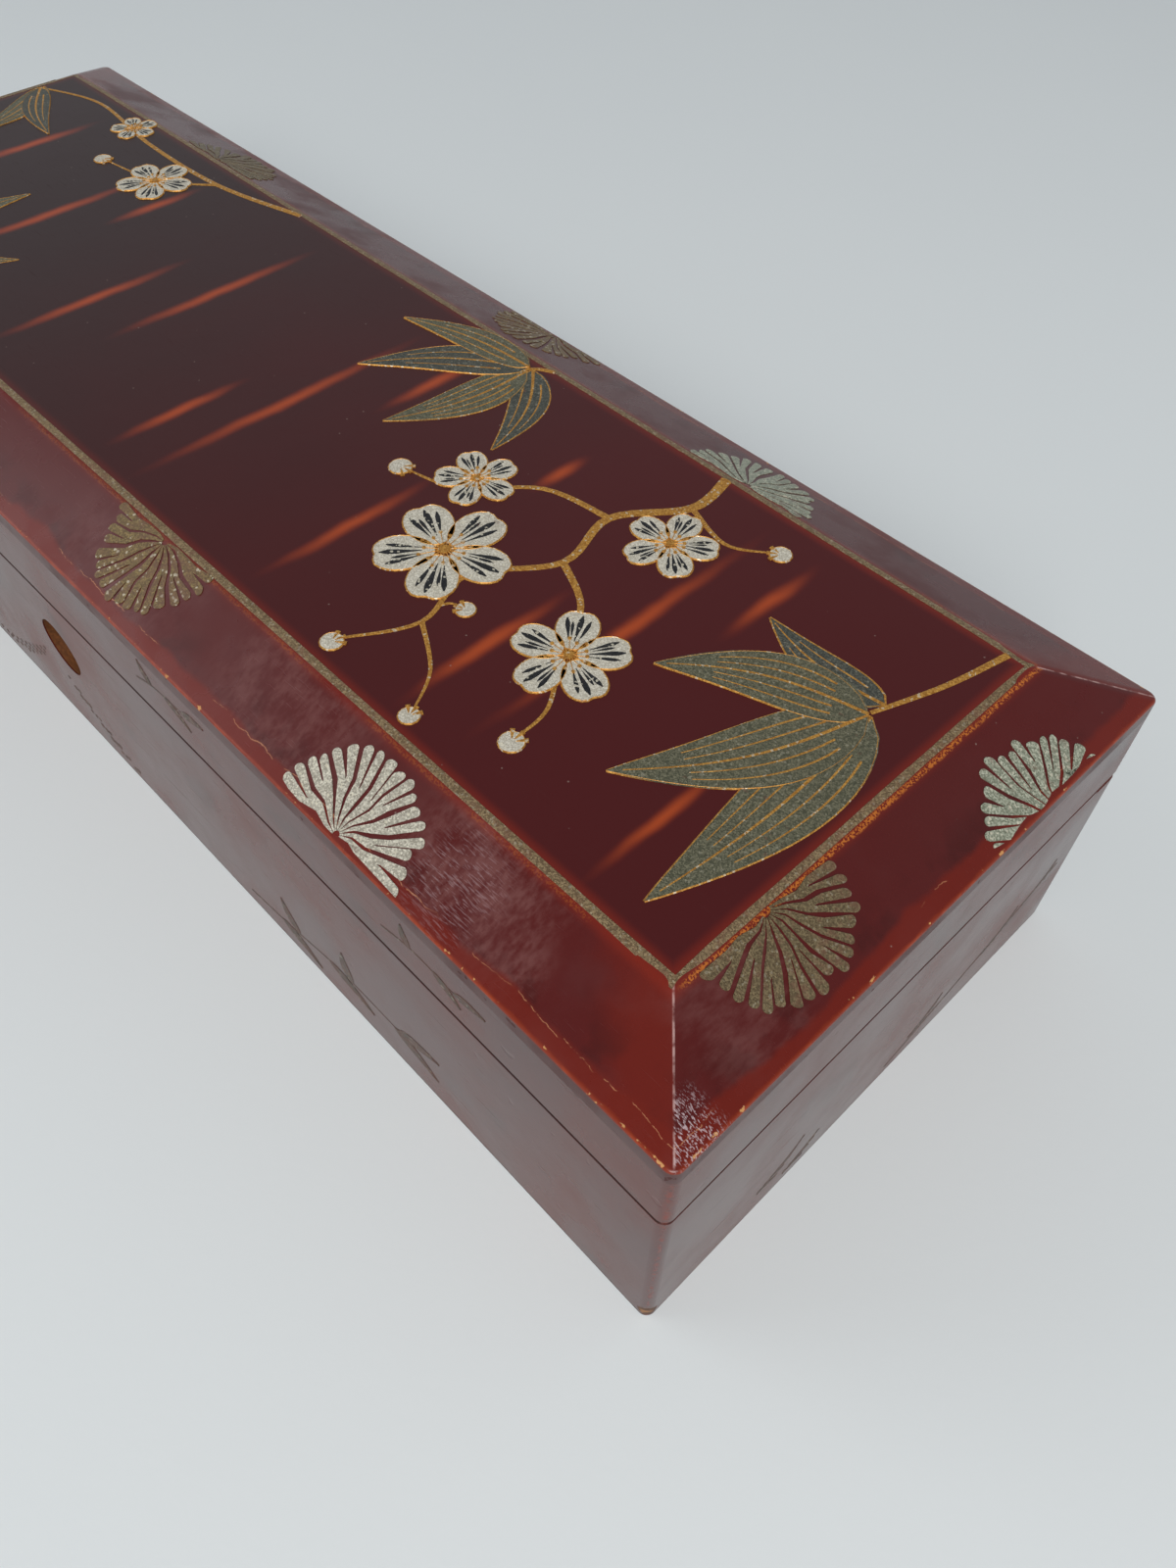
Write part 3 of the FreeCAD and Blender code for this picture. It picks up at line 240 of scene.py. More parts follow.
class Graph:
    """Adds nodes to a shader tree or a geometry tree."""

    def __init__(self, tree: bpy.types.NodeTree) -> None:
        """Takes the tree that the nodes go into."""
        self.tree = tree

    def add(self, kind: str, values: dict[int | str, object] | None = None,
            **settings: object) -> bpy.types.Node:
        """Adds one node.

        Args:
            kind: The node's type.
            values: A number, colour or signal for each named or numbered input.
            **settings: The node's settings, which are set first.

        Returns:
            The node.
        """
        node = self.tree.nodes.new(kind)
        for name, setting in settings.items():
            setattr(node, name, setting)
        for key, value in (values or {}).items():
            if isinstance(value, Signal):
                self.tree.links.new(value.socket, node.inputs[key])
            else:
                node.inputs[key].default_value = value
        return node

    def out(self, node: bpy.types.Node, output: int | str = 0) -> Signal:
        """Wraps one output of a node."""
        return Signal(self, node.outputs[output])

    def get(self, kind: str, values: dict[int | str, object] | None = None, output: int | str = 0,
            **settings: object) -> Signal:
        """Adds one node and gives one of its outputs."""
        return self.out(self.add(kind, values, **settings), output)

    def maths(self, operation: str, *values: Signal | float) -> Signal:
        """Adds a Math node and gives its result."""
        return self.get("ShaderNodeMath", dict(enumerate(values)), operation=operation)

    def vector(self, operation: str, *values: object) -> Signal:
        """Adds a Vector Math node and gives its vector."""
        return self.get("ShaderNodeVectorMath", dict(enumerate(values)), operation=operation)

    def step(self, signal: Signal, low: float, high: float) -> Signal:
        """Runs softly from 0 at low to 1 at high."""
        values = {"Value": signal, "From Min": low, "From Max": high}
        return self.get("ShaderNodeMapRange", values, interpolation_type="SMOOTHSTEP")

    def mix(self, share: Signal | float, first: Signal | Tone, second: Signal | Tone) -> Signal:
        """Goes from the first colour at 0 to the second at 1."""
        return self.get("ShaderNodeMix", {0: share, 6: first, 7: second}, 2, data_type="RGBA")


FINE_LAYERS = 0.55
FLAKE_SIZE, FLAKE_SHARE, FLAKE_REACH = 0.75, 0.42, 0.36


class Shader(Graph):
    """A material's tree with the patterns that the finishes share, on places in millimetres."""

    def __init__(self, name: str) -> None:
        """Starts an empty material, without a colour yet."""
        self.base: Signal | Tone = (0.0, 0.0, 0.0, 1.0)
        self.material = bpy.data.materials.new(name)
        self.material.use_nodes = True
        super().__init__(self.material.node_tree)
        self.tree.nodes.clear()
        metre = self.get("ShaderNodeTexCoord", output="Object")
        self.spot = self.get("ShaderNodeVectorMath", {0: metre, "Scale": 1000.0}, operation="SCALE")
        parts = self.add("ShaderNodeSeparateXYZ", {0: self.spot})
        self.x, self.y, self.z = (self.out(parts, axis) for axis in (0, 1, 2))

    def mapped(self, size: Place, shift: Place = (0.0, 0.0, 0.0), turn: Place = (0.0, 0.0, 0.0),
               spot: Signal | None = None) -> Signal:
        """Scales places so that size becomes 1, then shifts them."""
        scale = tuple(1 / part for part in size)
        return self.get("ShaderNodeMapping", {
            "Vector": spot or self.spot, "Location": shift, "Rotation": turn, "Scale": scale})

    def noise(self, size: float, detail: float = 3.0, seed: float = 0.0, stretch: Place = (1.0, 1.0, 1.0),
              turn: Place = (0.0, 0.0, 0.0)) -> Signal:
        """Gives soft noise from 0 to 1.

        Args:
            size: Rough width of its clouds.
            detail: How many finer layers it has.
            seed: Moves the pattern, for another one of its kind.
            stretch: Lengthens the clouds along each axis.
            turn: Turns the pattern.

        Returns:
            The noise.
        """
        shift = (7.3 * seed, 3.1 * seed, 5.7 * seed)
        spot = self.mapped(tuple(size * part for part in stretch), shift, turn)
        return self.get("ShaderNodeTexNoise", {
            "Vector": spot, "Scale": 1.0, "Detail": detail, "Roughness": FINE_LAYERS})

    def grains(self, size: float, seed: float = 0.0) -> tuple[Signal, Signal]:
        """Gives each small cell a random number, and the distance from the cell's middle."""
        spot = self.mapped((size, size, size), (seed, 2 * seed, 3 * seed))
        cells = self.add("ShaderNodeTexVoronoi", {"Vector": spot, "Scale": 1.0}, feature="F1")
        channels = self.add("ShaderNodeSeparateColor", {0: self.out(cells, "Color")})
        return self.out(channels, 0), self.out(cells, "Distance")

    def flakes(self) -> Signal:
        """Gives scattered small flakes of gold, 1 on them and 0 between them."""
        number, far = self.grains(FLAKE_SIZE, 11.0)
        return self.maths("GREATER_THAN", number, 1 - FLAKE_SHARE) * self.maths("LESS_THAN", far, FLAKE_REACH)

    def coat(self, share: Signal | float, colour: Signal | Tone) -> None:
        """Lays a colour over what is there, as thick as share says."""
        self.base = self.mix(share, self.base, colour)

    def away(self, *parts: Signal) -> Signal:
        """Gives the length of a way from its parts along the axes."""
        return self.maths("SQRT", sum((part ** 2.0 for part in parts[1:]), parts[0] ** 2.0))

    def finish(self, rough: Signal | float, height: Signal, relief: float = 0.02,
               **constants: object) -> bpy.types.Material:
        """Ends the tree in a surface.

        Args:
            rough: Roughness.
            height: What the bump follows.
            relief: Depth of the bump in millimetres, where the height is 1.
            **constants: Other inputs of the surface, spaces written as underscores.

        Returns:
            The material.
        """
        bump = self.get("ShaderNodeBump", {"Height": height, "Strength": 1.0, "Distance": 0.001 * relief})
        values = {"Base Color": self.base, "Roughness": rough, "Normal": bump}
        values.update({name.replace("_", " "): value for name, value in constants.items()})
        surface = self.get("ShaderNodeBsdfPrincipled", values)
        self.add("ShaderNodeOutputMaterial", {"Surface": surface})
        return self.material


class Grower(Graph):
    """A Geometry Nodes tree with named inputs, run once on a seed mesh."""

    def __init__(self, name: str, inputs: dict[str, tuple[str, object]]) -> None:
        """Starts the tree.

        Args:
            name: Name of the tree.
            inputs: For each named input its socket type and its first value.
        """
        super().__init__(bpy.data.node_groups.new(name, "GeometryNodeTree"))
        face = self.tree.interface
        face.new_socket("Geometry", in_out="INPUT", socket_type="NodeSocketGeometry")
        for label, (kind, first) in inputs.items():
            socket = face.new_socket(label, in_out="INPUT", socket_type=kind)
            if first is not None:
                socket.default_value = first
        face.new_socket("Geometry", in_out="OUTPUT", socket_type="NodeSocketGeometry")
        self.start = self.add("NodeGroupInput")

    def given(self, label: str) -> Signal:
        """Gives a named input as a signal."""
        return self.out(self.start, label)

    def chance(self, low: float, high: float, seed: Signal) -> Signal:
        """Gives each point a random number between low and high."""
        return self.get("FunctionNodeRandomValue", {2: low, 3: high, "Seed": seed}, 1, data_type="FLOAT")

    def copies(self, shape: bpy.types.Object) -> Signal:
        """Gives an object's geometry, to be copied."""
        return self.get("GeometryNodeObjectInfo", {"Object": shape, "As Instance": True}, "Geometry")

    def end(self, geometry: Signal) -> None:
        """Ends the tree in Realize Instances and Set Material."""
        whole = self.add("GeometryNodeRealizeInstances", {0: geometry})
        painted = self.add("GeometryNodeSetMaterial",
                           {0: self.out(whole), "Material": self.given("Material")})
        self.add("NodeGroupOutput", {0: self.out(painted)})

    def grow(self, seed: bpy.types.Mesh, values: dict[str, object]) -> bpy.types.Mesh:
        """Runs the tree on a seed mesh.

        Args:
            seed: The mesh that the tree starts from.
            values: Value of each named input.

        Returns:
            The plain mesh that came out.
        """
        carrier = placed(f"{self.tree.name}_carrier", seed)
        modifier = carrier.modifiers.new("Grow", "NODES")
        modifier.node_group = self.tree
        for item in self.tree.interface.items_tree:
            if item.in_out == "INPUT" and item.name in values:
                modifier[item.identifier] = values[item.name]
        carrier.update_tag()
        graph = bpy.context.evaluated_depsgraph_get()
        grown = carrier.evaluated_get(graph)
        mesh = bpy.data.meshes.new_from_object(grown, preserve_all_data_layers=True, depsgraph=graph)
        carrier.modifiers.remove(modifier)
        bpy.data.objects.remove(carrier)
        return mesh


def mesh_of(name: str, points: Iterable[Iterable[float]], faces: Iterable[Sequence[int]], smooth: bool = True,
            sharp: float = 40.0) -> bpy.types.Mesh:
    """Makes a mesh from places in millimetres.

    Args:
        name: Name of the mesh.
        points: The places of its points.
        faces: The points of each face, anticlockwise from outside.
        smooth: Whether its faces are shaded smooth.
        sharp: Edges steeper than this many degrees stay sharp.

    Returns:
        The mesh, in metres.
    """
    mesh = bpy.data.meshes.new(name)
    mesh.from_pydata([metres(point) for point in points], [], [list(face) for face in faces])
    mesh.update()
    if smooth:
        mesh.polygons.foreach_set("use_smooth", [True] * len(mesh.polygons))
        mesh.set_sharp_from_angle(angle=math.radians(sharp))
    return mesh


def closed_rings(rings: Sequence[Sequence[Place]]) -> tuple[list[Place], list[list[int]]]:
    """Joins rings of like points into a closed skin with a face at each end.

    Args:
        rings: The rings in order, each anticlockwise as seen from where the last ring is.

    Returns:
        The points and the faces.
    """
    count = len(rings[0])
    points = [point for ring in rings for point in ring]
    faces = [[low + i, low + (i + 1) % count, low + count + (i + 1) % count, low + count + i]
             for low in range(0, len(points) - count, count) for i in range(count)]
    faces += [list(reversed(range(count))), list(range(len(points) - count, len(points)))]
    return points, faces


# Form of the lid

@dataclass(frozen=True)
class LidForm:
    """Sizes of the lid's top, and the height of its surface at any place."""

    half_length: float = 144.0
    half_width: float = 50.0
    foot: float = 52.3
    brow: float = 55.3
    bevel_in: float = 14.0
    bevel_up: float = 5.9
    edge_round: float = 0.5
    crease_round: float = 5.0
    corner_round: float = 1.6
    dish_inset: float = 15.5
    dish_depth: float = 4.3
    dish_round: float = 3.0

    @property
    def slope(self) -> float:
        """Angle of the bevels."""
        return math.atan2(self.bevel_up, self.bevel_in)

    @property
    def panel(self) -> float:
        """Level of the flat panel."""
        return self.brow + self.bevel_up

    @property
    def edge_run(self) -> float:
        """How far the rounding of the edge reaches down the upright edge."""
        return self.edge_round * math.tan((math.pi / 2 - self.slope) / 2)

    @property
    def edge_to(self) -> float:
        """How far in the rounding of the edge ends."""
        return self.edge_run * math.cos(self.slope)

    @property
    def crease(self) -> Point:
        """How far in the rounding of the crease starts and ends."""
        run = self.crease_round * math.tan(self.slope / 2)
        return (self.bevel_in - run * math.cos(self.slope), self.bevel_in + run)

    def profile(self, inset: float) -> float:
        """Gives the surface's height at a distance in from the outside."""
        crease_from, flat_from = self.crease
        if inset < self.edge_to:
            back = self.edge_round - max(inset, 0.0)
            return self.brow - self.edge_run + math.sqrt(max(self.edge_round ** 2 - back ** 2, 0.0))
        if inset < crease_from:
            return self.brow + inset * math.tan(self.slope)
        if inset < flat_from:
            back = flat_from - inset
            return self.panel - self.crease_round + math.sqrt(self.crease_round ** 2 - back ** 2)
        return self.panel

    def inset(self, x: float, y: float) -> float:
        """Gives the distance in from the outside, with rounded hips."""
        reach_x = abs(x) - self.half_length + self.corner_round
        reach_y = abs(y) - self.half_width + self.corner_round
        across = reach_x - reach_y
        if abs(across) >= self.corner_round:
            return min(self.half_length - abs(x), self.half_width - abs(y))
        return (math.sqrt(2 * self.corner_round ** 2 - across ** 2) - reach_x - reach_y) / 2

    def height(self, x: float, y: float) -> float:
        """Gives the height of the lid's surface."""
        return self.profile(self.inset(x, y))

    def ring(self, inset: float, level: float, corner: float) -> list[Place]:
        """Gives one level ring of the lid.

        Args:
            inset: Distance in from the outside.
            level: Height of the ring.
            corner: Radius of its corners.

        Returns:
            The ring's points, anticlockwise from above.
        """
        points: list[Place] = []
        for quarter, (side_x, side_y) in enumerate(((1, 1), (-1, 1), (-1, -1), (1, -1))):
            x = side_x * (self.half_length - inset - corner)
            y = side_y * (self.half_width - inset - corner)
            for angle in along(quarter * math.pi / 2, (quarter + 1) * math.pi / 2, 9):
                points.append((x + corner * math.cos(angle), y + corner * math.sin(angle), level))
        return points

    def build(self) -> bpy.types.Mesh:
        """Makes the lid's top: rings up the outside and over the bevels, and down into the dish below."""
        dish_corner = self.dish_round + 0.2
        dish = [self.ring(self.dish_inset + self.dish_round * (1 - math.cos(turn)),
                          self.foot + self.dish_depth - self.dish_round * (1 - math.sin(turn)), dish_corner)
                for turn in along(math.pi / 2, 0, 5)]
        under = [*dish, self.ring(self.dish_inset, self.foot, dish_corner),
                 self.ring(0.0, self.foot, self.corner_round)]
        rounding = [self.edge_round * (1 - math.cos(turn)) for turn in along(0.17, 1.17, 6)]
        insets = [0.0, *(inset for inset in rounding if inset <= self.edge_to), self.edge_to,
                  2.0, 4.5, 7.5, 10.5, *along(*self.crease, 8), 16.5, 19.0]
        over = [self.ring(inset, self.profile(inset), self.corner_round) for inset in insets]
        return mesh_of("lid_top", *closed_rings([*under, *over]))


LID = LidForm()


class Side(Enum):
    """The four sides of the box, each with the way out of it."""

    FRONT = (0, -1)
    BACK = (0, 1)
    RIGHT = (1, 0)
    LEFT = (-1, 0)

    @property
    def half(self) -> float:
        """Distance of the side from the middle."""
        return LID.half_length if self.value[0] else LID.half_width

    def plan(self, run: float, inset: float) -> Point:
        """Gives the place, from above, of a point on the side's bevel."""
        out = self.half - inset
        return (self.value[0] * out, run) if self.value[0] else (run, self.value[1] * out)

    def wall(self, run: float, level: float, lift: float) -> Place:
        """Gives a place on the side's wall, lifted by a relief's height."""
        return (*self.plan(run, -lift), level)


def on_top(x: float, y: float, lift: float) -> Place:
    """Gives a place on the lid's surface, lifted by a relief's height."""
    return (x, y, LID.height(x, y) + lift)


# Finishes

FLAKE_GOLD = tone(190, 146, 70)
INNER_BLACK = tone(26, 19, 17)
SEAM_LOW, SEAM_HIGH, ABOVE_ALL = 39.2, 39.4, 80.0


@dataclass(frozen=True)
class RedLacquer:
    """Transparent red-brown lacquer on the walls: deep in the flats, thin and orange along worn edges, with
    painted shade in the seam and along the foot.
    """

    name: str
    low: float
    high: float
    deep: Tone = tone(66, 22, 17)
    warm: Tone = tone(88, 34, 23)
    edge: Tone = tone(132, 62, 48)
    wood: Tone = tone(158, 112, 70)
    # Painted shade in the seam between lid and box and along the foot of the walls.
    seam_and_foot_shade: Tone = tone(16, 8, 7)
    chipped_foot: Place = (143.8, -49.8, 2.0)
    keyhole: Point = (-4.5, 24.7)
    keyhole_reach: float = 6.0
    skin: float = 49.75
    inner_half: Point = (138.1, 44.1)

    def chips(self, s: Shader, edge: Signal, ragged: Signal) -> Signal:
        """Masks the chips along the upright corners and at the foot of the near one."""
        foot_x, foot_y, foot_z = self.chipped_foot
        from_foot = s.away(s.x - foot_x, s.y - foot_y, s.z - foot_z) + (ragged - 0.5) * 3.0
        return s.step(s.noise(2.4, 4, 4) - edge * 0.35, 0.62, 0.66).most(s.step(from_foot, 1.8, 1.5))

    def make(self) -> bpy.types.Material:
        """Builds the material, with its wear, painted shade in the seam and at the foot, the bare wood in the
        keyhole and the sprinkled inside.
        """
        s = Shader(self.name)
        clouds, ragged = s.noise(26, 4, 1), s.noise(3.5, 5, 3)
        s.base = s.mix(s.step(clouds, 0.35, 0.7), self.deep, self.warm)
        grain = s.noise(1.1, 4, 2, (14.0, 14.0, 0.5))
        s.coat(s.step(grain, 0.45, 0.8) * 0.25, tone(70, 22, 16))
        gap_x, gap_y = LID.half_length - abs(s.x), LID.half_width - abs(s.y)
        edge = gap_x.most(gap_y)
        rubbed = s.step(edge + (ragged - 0.5) * 1.6, 1.0, 0.15) * s.step(s.noise(0.9, 3, 23), 0.42, 0.58)
        s.coat(rubbed * 0.7, self.edge)
        # Painted shade: a dark line on the outer skin at the seam and the foot, half as strong on the ends.
        rim = s.step((s.z - self.low).least(self.high - s.z), 0.4, 0.1) * s.step(gap_x.least(gap_y), 0.5, 0.1)
        s.coat(rim * (1 - s.step(gap_x, 0.3, 0.1) * 0.5), self.seam_and_foot_shade)
        chips = self.chips(s, edge, ragged)
        s.coat(chips, s.mix(s.step(ragged, 0.5, 0.62), tone(84, 54, 34), self.wood))
        s.coat(s.step(s.noise(14, 5, 25), 0.56, 0.7) * 0.5, tone(46, 20, 16))
        s.coat(s.step(s.noise(0.9, 2, 5), 0.74, 0.78) * 0.5, tone(40, 14, 12))
        from_hole = s.away(s.x - self.keyhole[0], s.z - self.keyhole[1])
        bare = s.maths("LESS_THAN", from_hole, self.keyhole_reach) * s.maths("LESS_THAN", abs(s.y), self.skin)
        fibre = s.noise(0.5, 4, 6, (9.0, 1.0, 1.0))
        s.coat(bare, s.mix(fibre, tone(48, 24, 10), tone(128, 76, 34)))
        inner_x, inner_y = self.inner_half
        inside = s.maths("LESS_THAN", abs(s.x), inner_x) * s.maths("LESS_THAN", abs(s.y), inner_y)
        flecks = s.flakes() * inside
        s.coat(inside, INNER_BLACK)
        s.coat(flecks, FLAKE_GOLD)
        dents = s.step(s.noise(3.2, 2, 21), 0.70, 0.76) * (1 - inside)
        scuffs = s.step(s.noise(0.6, 3, 7, (22.0, 22.0, 1.0), turn=(0.0, 0.5, 0.3)), 0.62, 0.75)
        rough = 0.18 + s.step(clouds, 0.3, 0.8) * 0.16 + rubbed * 0.2 + chips * 0.3 + inside * 0.12
        rough = rough + bare * 0.5 + rim * 0.5 + scuffs * 0.08
        height = s.noise(9, 2, 8) * 0.6 + s.noise(0.35, 2, 9) * 0.04 - chips * 0.8
        height = height + fibre * bare - dents * 0.5
        return s.finish(rough, height, 0.05, IOR=1.37, Metallic=flecks * 0.7)


@dataclass(frozen=True)
class Streak:
    """One soft tapered streak of powdered orange lacquer across the panel."""

    x: float
    low: float
    high: float
    width: float = 2.0


STREAKS = (
    Streak(-132.0, -8.0, 30.0), Streak(-118.0, -30.0, 4.0), Streak(-104.0, -6.0, 27.0),
    Streak(-90.0, -29.0, -4.0), Streak(-74.0, -28.0, 24.0), Streak(-63.0, 5.0, 27.0),
    Streak(-40.3, -31.0, 9.5), Streak(-27.0, -15.0, 28.5), Streak(0.0, -31.0, -4.5),
    Streak(10.0, -31.5, 25.0), Streak(22.3, 6.0, 30.5), Streak(42.4, -31.5, 2.5),
    Streak(55.0, 10.5, 23.5), Streak(75.7, -32.0, 0.0), Streak(86.8, -28.0, 29.0),
    Streak(97.0, 8.0, 30.0), Streak(113.0, -34.0, -6.0, 1.5),
)


class TopLacquer:
    """Lacquer of the lid's top: a dark panel with orange streaks, redder bevels, and worn bright edges, with
    painted shade and light across the panel and painted highlights and sheen on the bevels.
    """

    # Panel tones: painted shade at the far end, painted light at the near end.
    panel_far_shaded: Tone = tone(44, 18, 16)
    panel_near_lit: Tone = tone(76, 15, 15)
    bevel: Tone = tone(84, 19, 16)
    thin: Tone = tone(108, 25, 10)
    glow: Tone = tone(164, 64, 22)
    streak: Tone = tone(176, 72, 27)
    pale: Tone = tone(200, 138, 98)
    # Mauve of the haze on the bevels: dust, laid partly as a painted sheen.
    dust: Tone = tone(132, 88, 84)
    # Pale of the scratch ticks, painted as glints.
    scuff_glint: Tone = tone(222, 200, 204)
    # Places of the mauve haze: dust, partly a painted sheen.
    dust_sheen_places: tuple[tuple[float, float, float, float], ...] = (
        (103.0, -42.0, 17.0, 1.0), (64.0, -42.0, 20.0, 0.7), (137.0, -31.0, 12.0, 0.6),
        (112.0, -46.0, 9.0, 0.9), (24.0, -42.0, 22.0, 0.45))

    def __init__(self) -> None:
        """Starts the material and marks the zones of the lid."""
        self.s = s = Shader("top_lacquer")
        gap_x, gap_y = LID.half_length - abs(s.x), LID.half_width - abs(s.y)
        self.edge = gap_x.least(gap_y)
        self.hip = abs(gap_x - gap_y) * 0.707
        self.on_long = s.step(gap_x - gap_y, -0.2, 0.2)
        self.on_end = s.step(gap_x - gap_y, 0.2, -0.2)
        self.on_bevel = s.step(self.edge, 14.6, 13.6)
        self.clouds, self.ragged, self.patches = s.noise(30, 4, 1), s.noise(4.0, 5, 3), s.noise(13, 4, 13)

    def streaks(self) -> Signal:
        """Gives the streaks as one mask from 0 to 1."""
        s = self.s
        noise = {"Vector": s.mapped((9.0, 9.0, 9.0)), "Scale": 1.0, "Detail": 2.0}
        wander = s.get("ShaderNodeTexNoise", noise, "Color")
        shift = s.vector("MULTIPLY_ADD", wander, (1.4, 0.0, 0.0), s.spot)
        spot = s.vector("SUBTRACT", shift, (0.7, 0.0, 0.0))
        blobs = []
        for item in STREAKS:
            middle, half = (item.low + item.high) / 2, (item.high - item.low) / 2 * 1.12
            local = s.mapped((item.width, half, 1e6), (-item.x / item.width, -middle / half, 0.0), spot=spot)
            blobs.append(s.get("ShaderNodeTexGradient", {0: local}, 1, gradient_type="SPHERICAL"))
        return functools.reduce(Signal.most, blobs)

    def patch(self, x: float, y: float, radius: float, share: float = 1.0) -> Signal:
        """Gives a soft round mask on the lid, as strong as share says."""
        s = self.s
        away = s.away(s.x - x, s.y - y) + (s.noise(5.0, 3, 20) - 0.5) * 5.0
        mask = s.step(away, radius, radius * 0.35)
        return mask if share == 1.0 else mask * share

    def ground(self) -> None:
        """Lays the panel, painted darker towards its far end as painted shade, the bevels and the streaks,
        and lets the red shine near the hips.
        """
        s = self.s
        # Painted shade: the panel darkens from the near end towards the far end.
        panel = s.mix(s.step(s.x + self.clouds * 60.0, -60.0, 130.0), self.panel_far_shaded, self.panel_near_lit)
        bevel = s.mix(s.step(self.clouds, 0.3, 0.75) * 0.6, self.bevel, tone(82, 26, 24))
        s.base = s.mix(self.on_bevel, panel, bevel)
        mask = self.streaks() * (0.8 + s.noise(4.0, 3, 2, (1.0, 5.0, 1.0)) * 0.4)
        s.coat(s.step(mask, 0.0, 0.45) * 0.5, tone(112, 34, 16))
        s.coat(s.step(mask, 0.2, 1.0) * 0.85, self.streak)
        near_hip = s.step(self.hip + (self.patches - 0.5) * 16, 11.0, 3.0) * self.on_long
        s.coat(near_hip * self.on_bevel * 0.75, self.thin)
        dark = s.step(s.noise(7, 4, 26), 0.5, 0.66) * s.step(self.edge, 9.0, 3.0)
        s.coat(dark * self.on_bevel * 0.45, tone(54, 11, 8))

    def wear(self) -> Signal:
        """Lays dust with a painted sheen, a painted highlight along the crease and the hips, and the rubbed,
        cracked and chipped edges, and gives the mask of the chips.
        """
        s, edge, on_long = self.s, self.edge, self.on_long
        # Mauve haze on the bevels: dust, and partly a painted sheen.
        dusty_sheen = functools.reduce(Signal.most, [self.patch(*place) for place in self.dust_sheen_places])
        dusty_sheen = dusty_sheen * self.on_bevel
        wisps = s.noise(0.8, 5, 21, (1.0, 3.0, 1.0)) * 0.5 + s.noise(5.0, 4, 22) * 0.5
        s.coat(dusty_sheen * s.step(wisps, 0.38, 0.66) * 0.46, self.dust)
        # A red band along the crease on both sides of the gold line: thin lacquer over the ground, with a
        # painted crease highlight that grows towards the near end.
        crease_band_highlight = s.step(abs(edge - 14.35), 2.3, 0.5) * (0.25 + s.step(s.x, -20.0, 115.0) * 0.3)
        s.coat(crease_band_highlight, tone(134, 36, 15))
        beside = s.step(abs(edge - 13.3 + (self.ragged - 0.5) * 0.7), 0.5, 0.15)
        freckled = s.step(s.noise(0.3, 3, 14), 0.46, 0.54) * s.step(s.noise(15, 3, 11), 0.42, 0.52)
        s.coat(beside * freckled * (0.85 - on_long * 0.65), tone(194, 112, 40))
        s.coat(s.step(edge + (self.patches - 0.5) * 4.0, 3.0, 2.0) * 0.85, self.thin)
        rubbed = s.step(edge + (self.ragged - 0.5) * 0.9, 0.6, 0.15)
        s.coat(rubbed * (0.3 + s.step(self.ragged, 0.48, 0.62) * 0.35), self.glow)
        crack = s.step(abs(edge - 2.3 + (s.noise(5.0, 5, 15) - 0.5) * 2.6), 0.07, 0.02)
        cracked = s.step(s.noise(2.4, 4, 16), 0.46, 0.54)
        cracked = cracked * s.step(s.noise(24, 2, 24) + on_long * 0.06, 0.54, 0.6)
        s.coat(crack * cracked * 0.6, self.pale)
        # Painted highlight: a thin broken pale line along the rounded hips of the bevels.
        hip_highlight = s.step(self.hip, 0.2, 0.05) * s.step(s.noise(1.6, 4, 17), 0.38, 0.66) * self.on_bevel
        s.coat(hip_highlight * 0.65, tone(208, 172, 166))
        chips = s.step(s.noise(2.2, 4, 4) - abs(edge - 0.3) * 0.3, 0.58, 0.61) * s.step(edge, 2.5, 1.5)
        s.coat(chips, tone(196, 140, 84))
        return chips

    def scuffs(self) -> Signal:
        """Lays pale scratch ticks at the near corner and by the near rosette, painted as glints, and gives
        their mask.
        """
        s = self.s
        scuffed_glinting = self.patch(142.0, -45.6, 5.4) * self.on_end * 0.85
        scuffed_glinting = scuffed_glinting.most(self.patch(101.0, -44.0, 9.0, 0.2))
        scratch_glints = s.step(s.noise(0.24, 3, 18, (9.0, 1.0, 1.0), turn=(0.0, 0.0, 0.7)), 0.56, 0.64)
        scratch_glints = scratch_glints.most(s.step(s.noise(0.24, 3, 19, (9.0, 1.0, 1.0), turn=(0.0, 0.0, -0.5)), 0.57, 0.65))
        scratch_glints = scratch_glints * scuffed_glinting
        # Real fine scratches, coloured pale as painted glints.
        s.coat(scratch_glints * 0.7, self.scuff_glint)
        return scratch_glints

    def make(self) -> bpy.types.Material:
        """Builds the material."""
        s = self.s
        self.ground()
        chips, scratch_glints = self.wear(), self.scuffs()
        side = s.step(s.z, 55.2, 54.9)
        s.coat(side, tone(66, 22, 17))
        under = s.maths("LESS_THAN", s.z, 57.0) * s.maths("GREATER_THAN", self.edge, 6.0)
        flecks = s.flakes() * under
        s.coat(under, INNER_BLACK)
        s.coat(flecks, FLAKE_GOLD)
        dust, far = s.grains(2.6, 3.0)
        specks = s.step(far, 0.07, 0.03) * s.maths("GREATER_THAN", dust, 0.8)
        s.coat(specks * 0.55, tone(150, 130, 120))
        fine = s.noise(0.35, 3, 7, (16.0, 1.0, 1.0), turn=(0.0, 0.0, 0.5))
        cross = s.noise(0.35, 3, 8, (14.0, 1.0, 1.0), turn=(0.0, 0.0, -0.8))
        scratched = s.step(fine, 0.66, 0.72).most(s.step(cross, 0.67, 0.73))
        haze = s.step(s.noise(11, 5, 9), 0.42, 0.7) * self.on_bevel
        rough = 0.30 - self.on_bevel * 0.08 + haze * 0.16 + scratched * 0.10 + chips * 0.3
        rough = rough + self.clouds * 0.06 + scratch_glints * 0.2 + side * 0.1
        height = s.noise(9, 2, 10) * 0.7 + s.noise(0.3, 2, 12) * 0.05 - scratched * 0.05 - chips + scratch_glints * 0.3
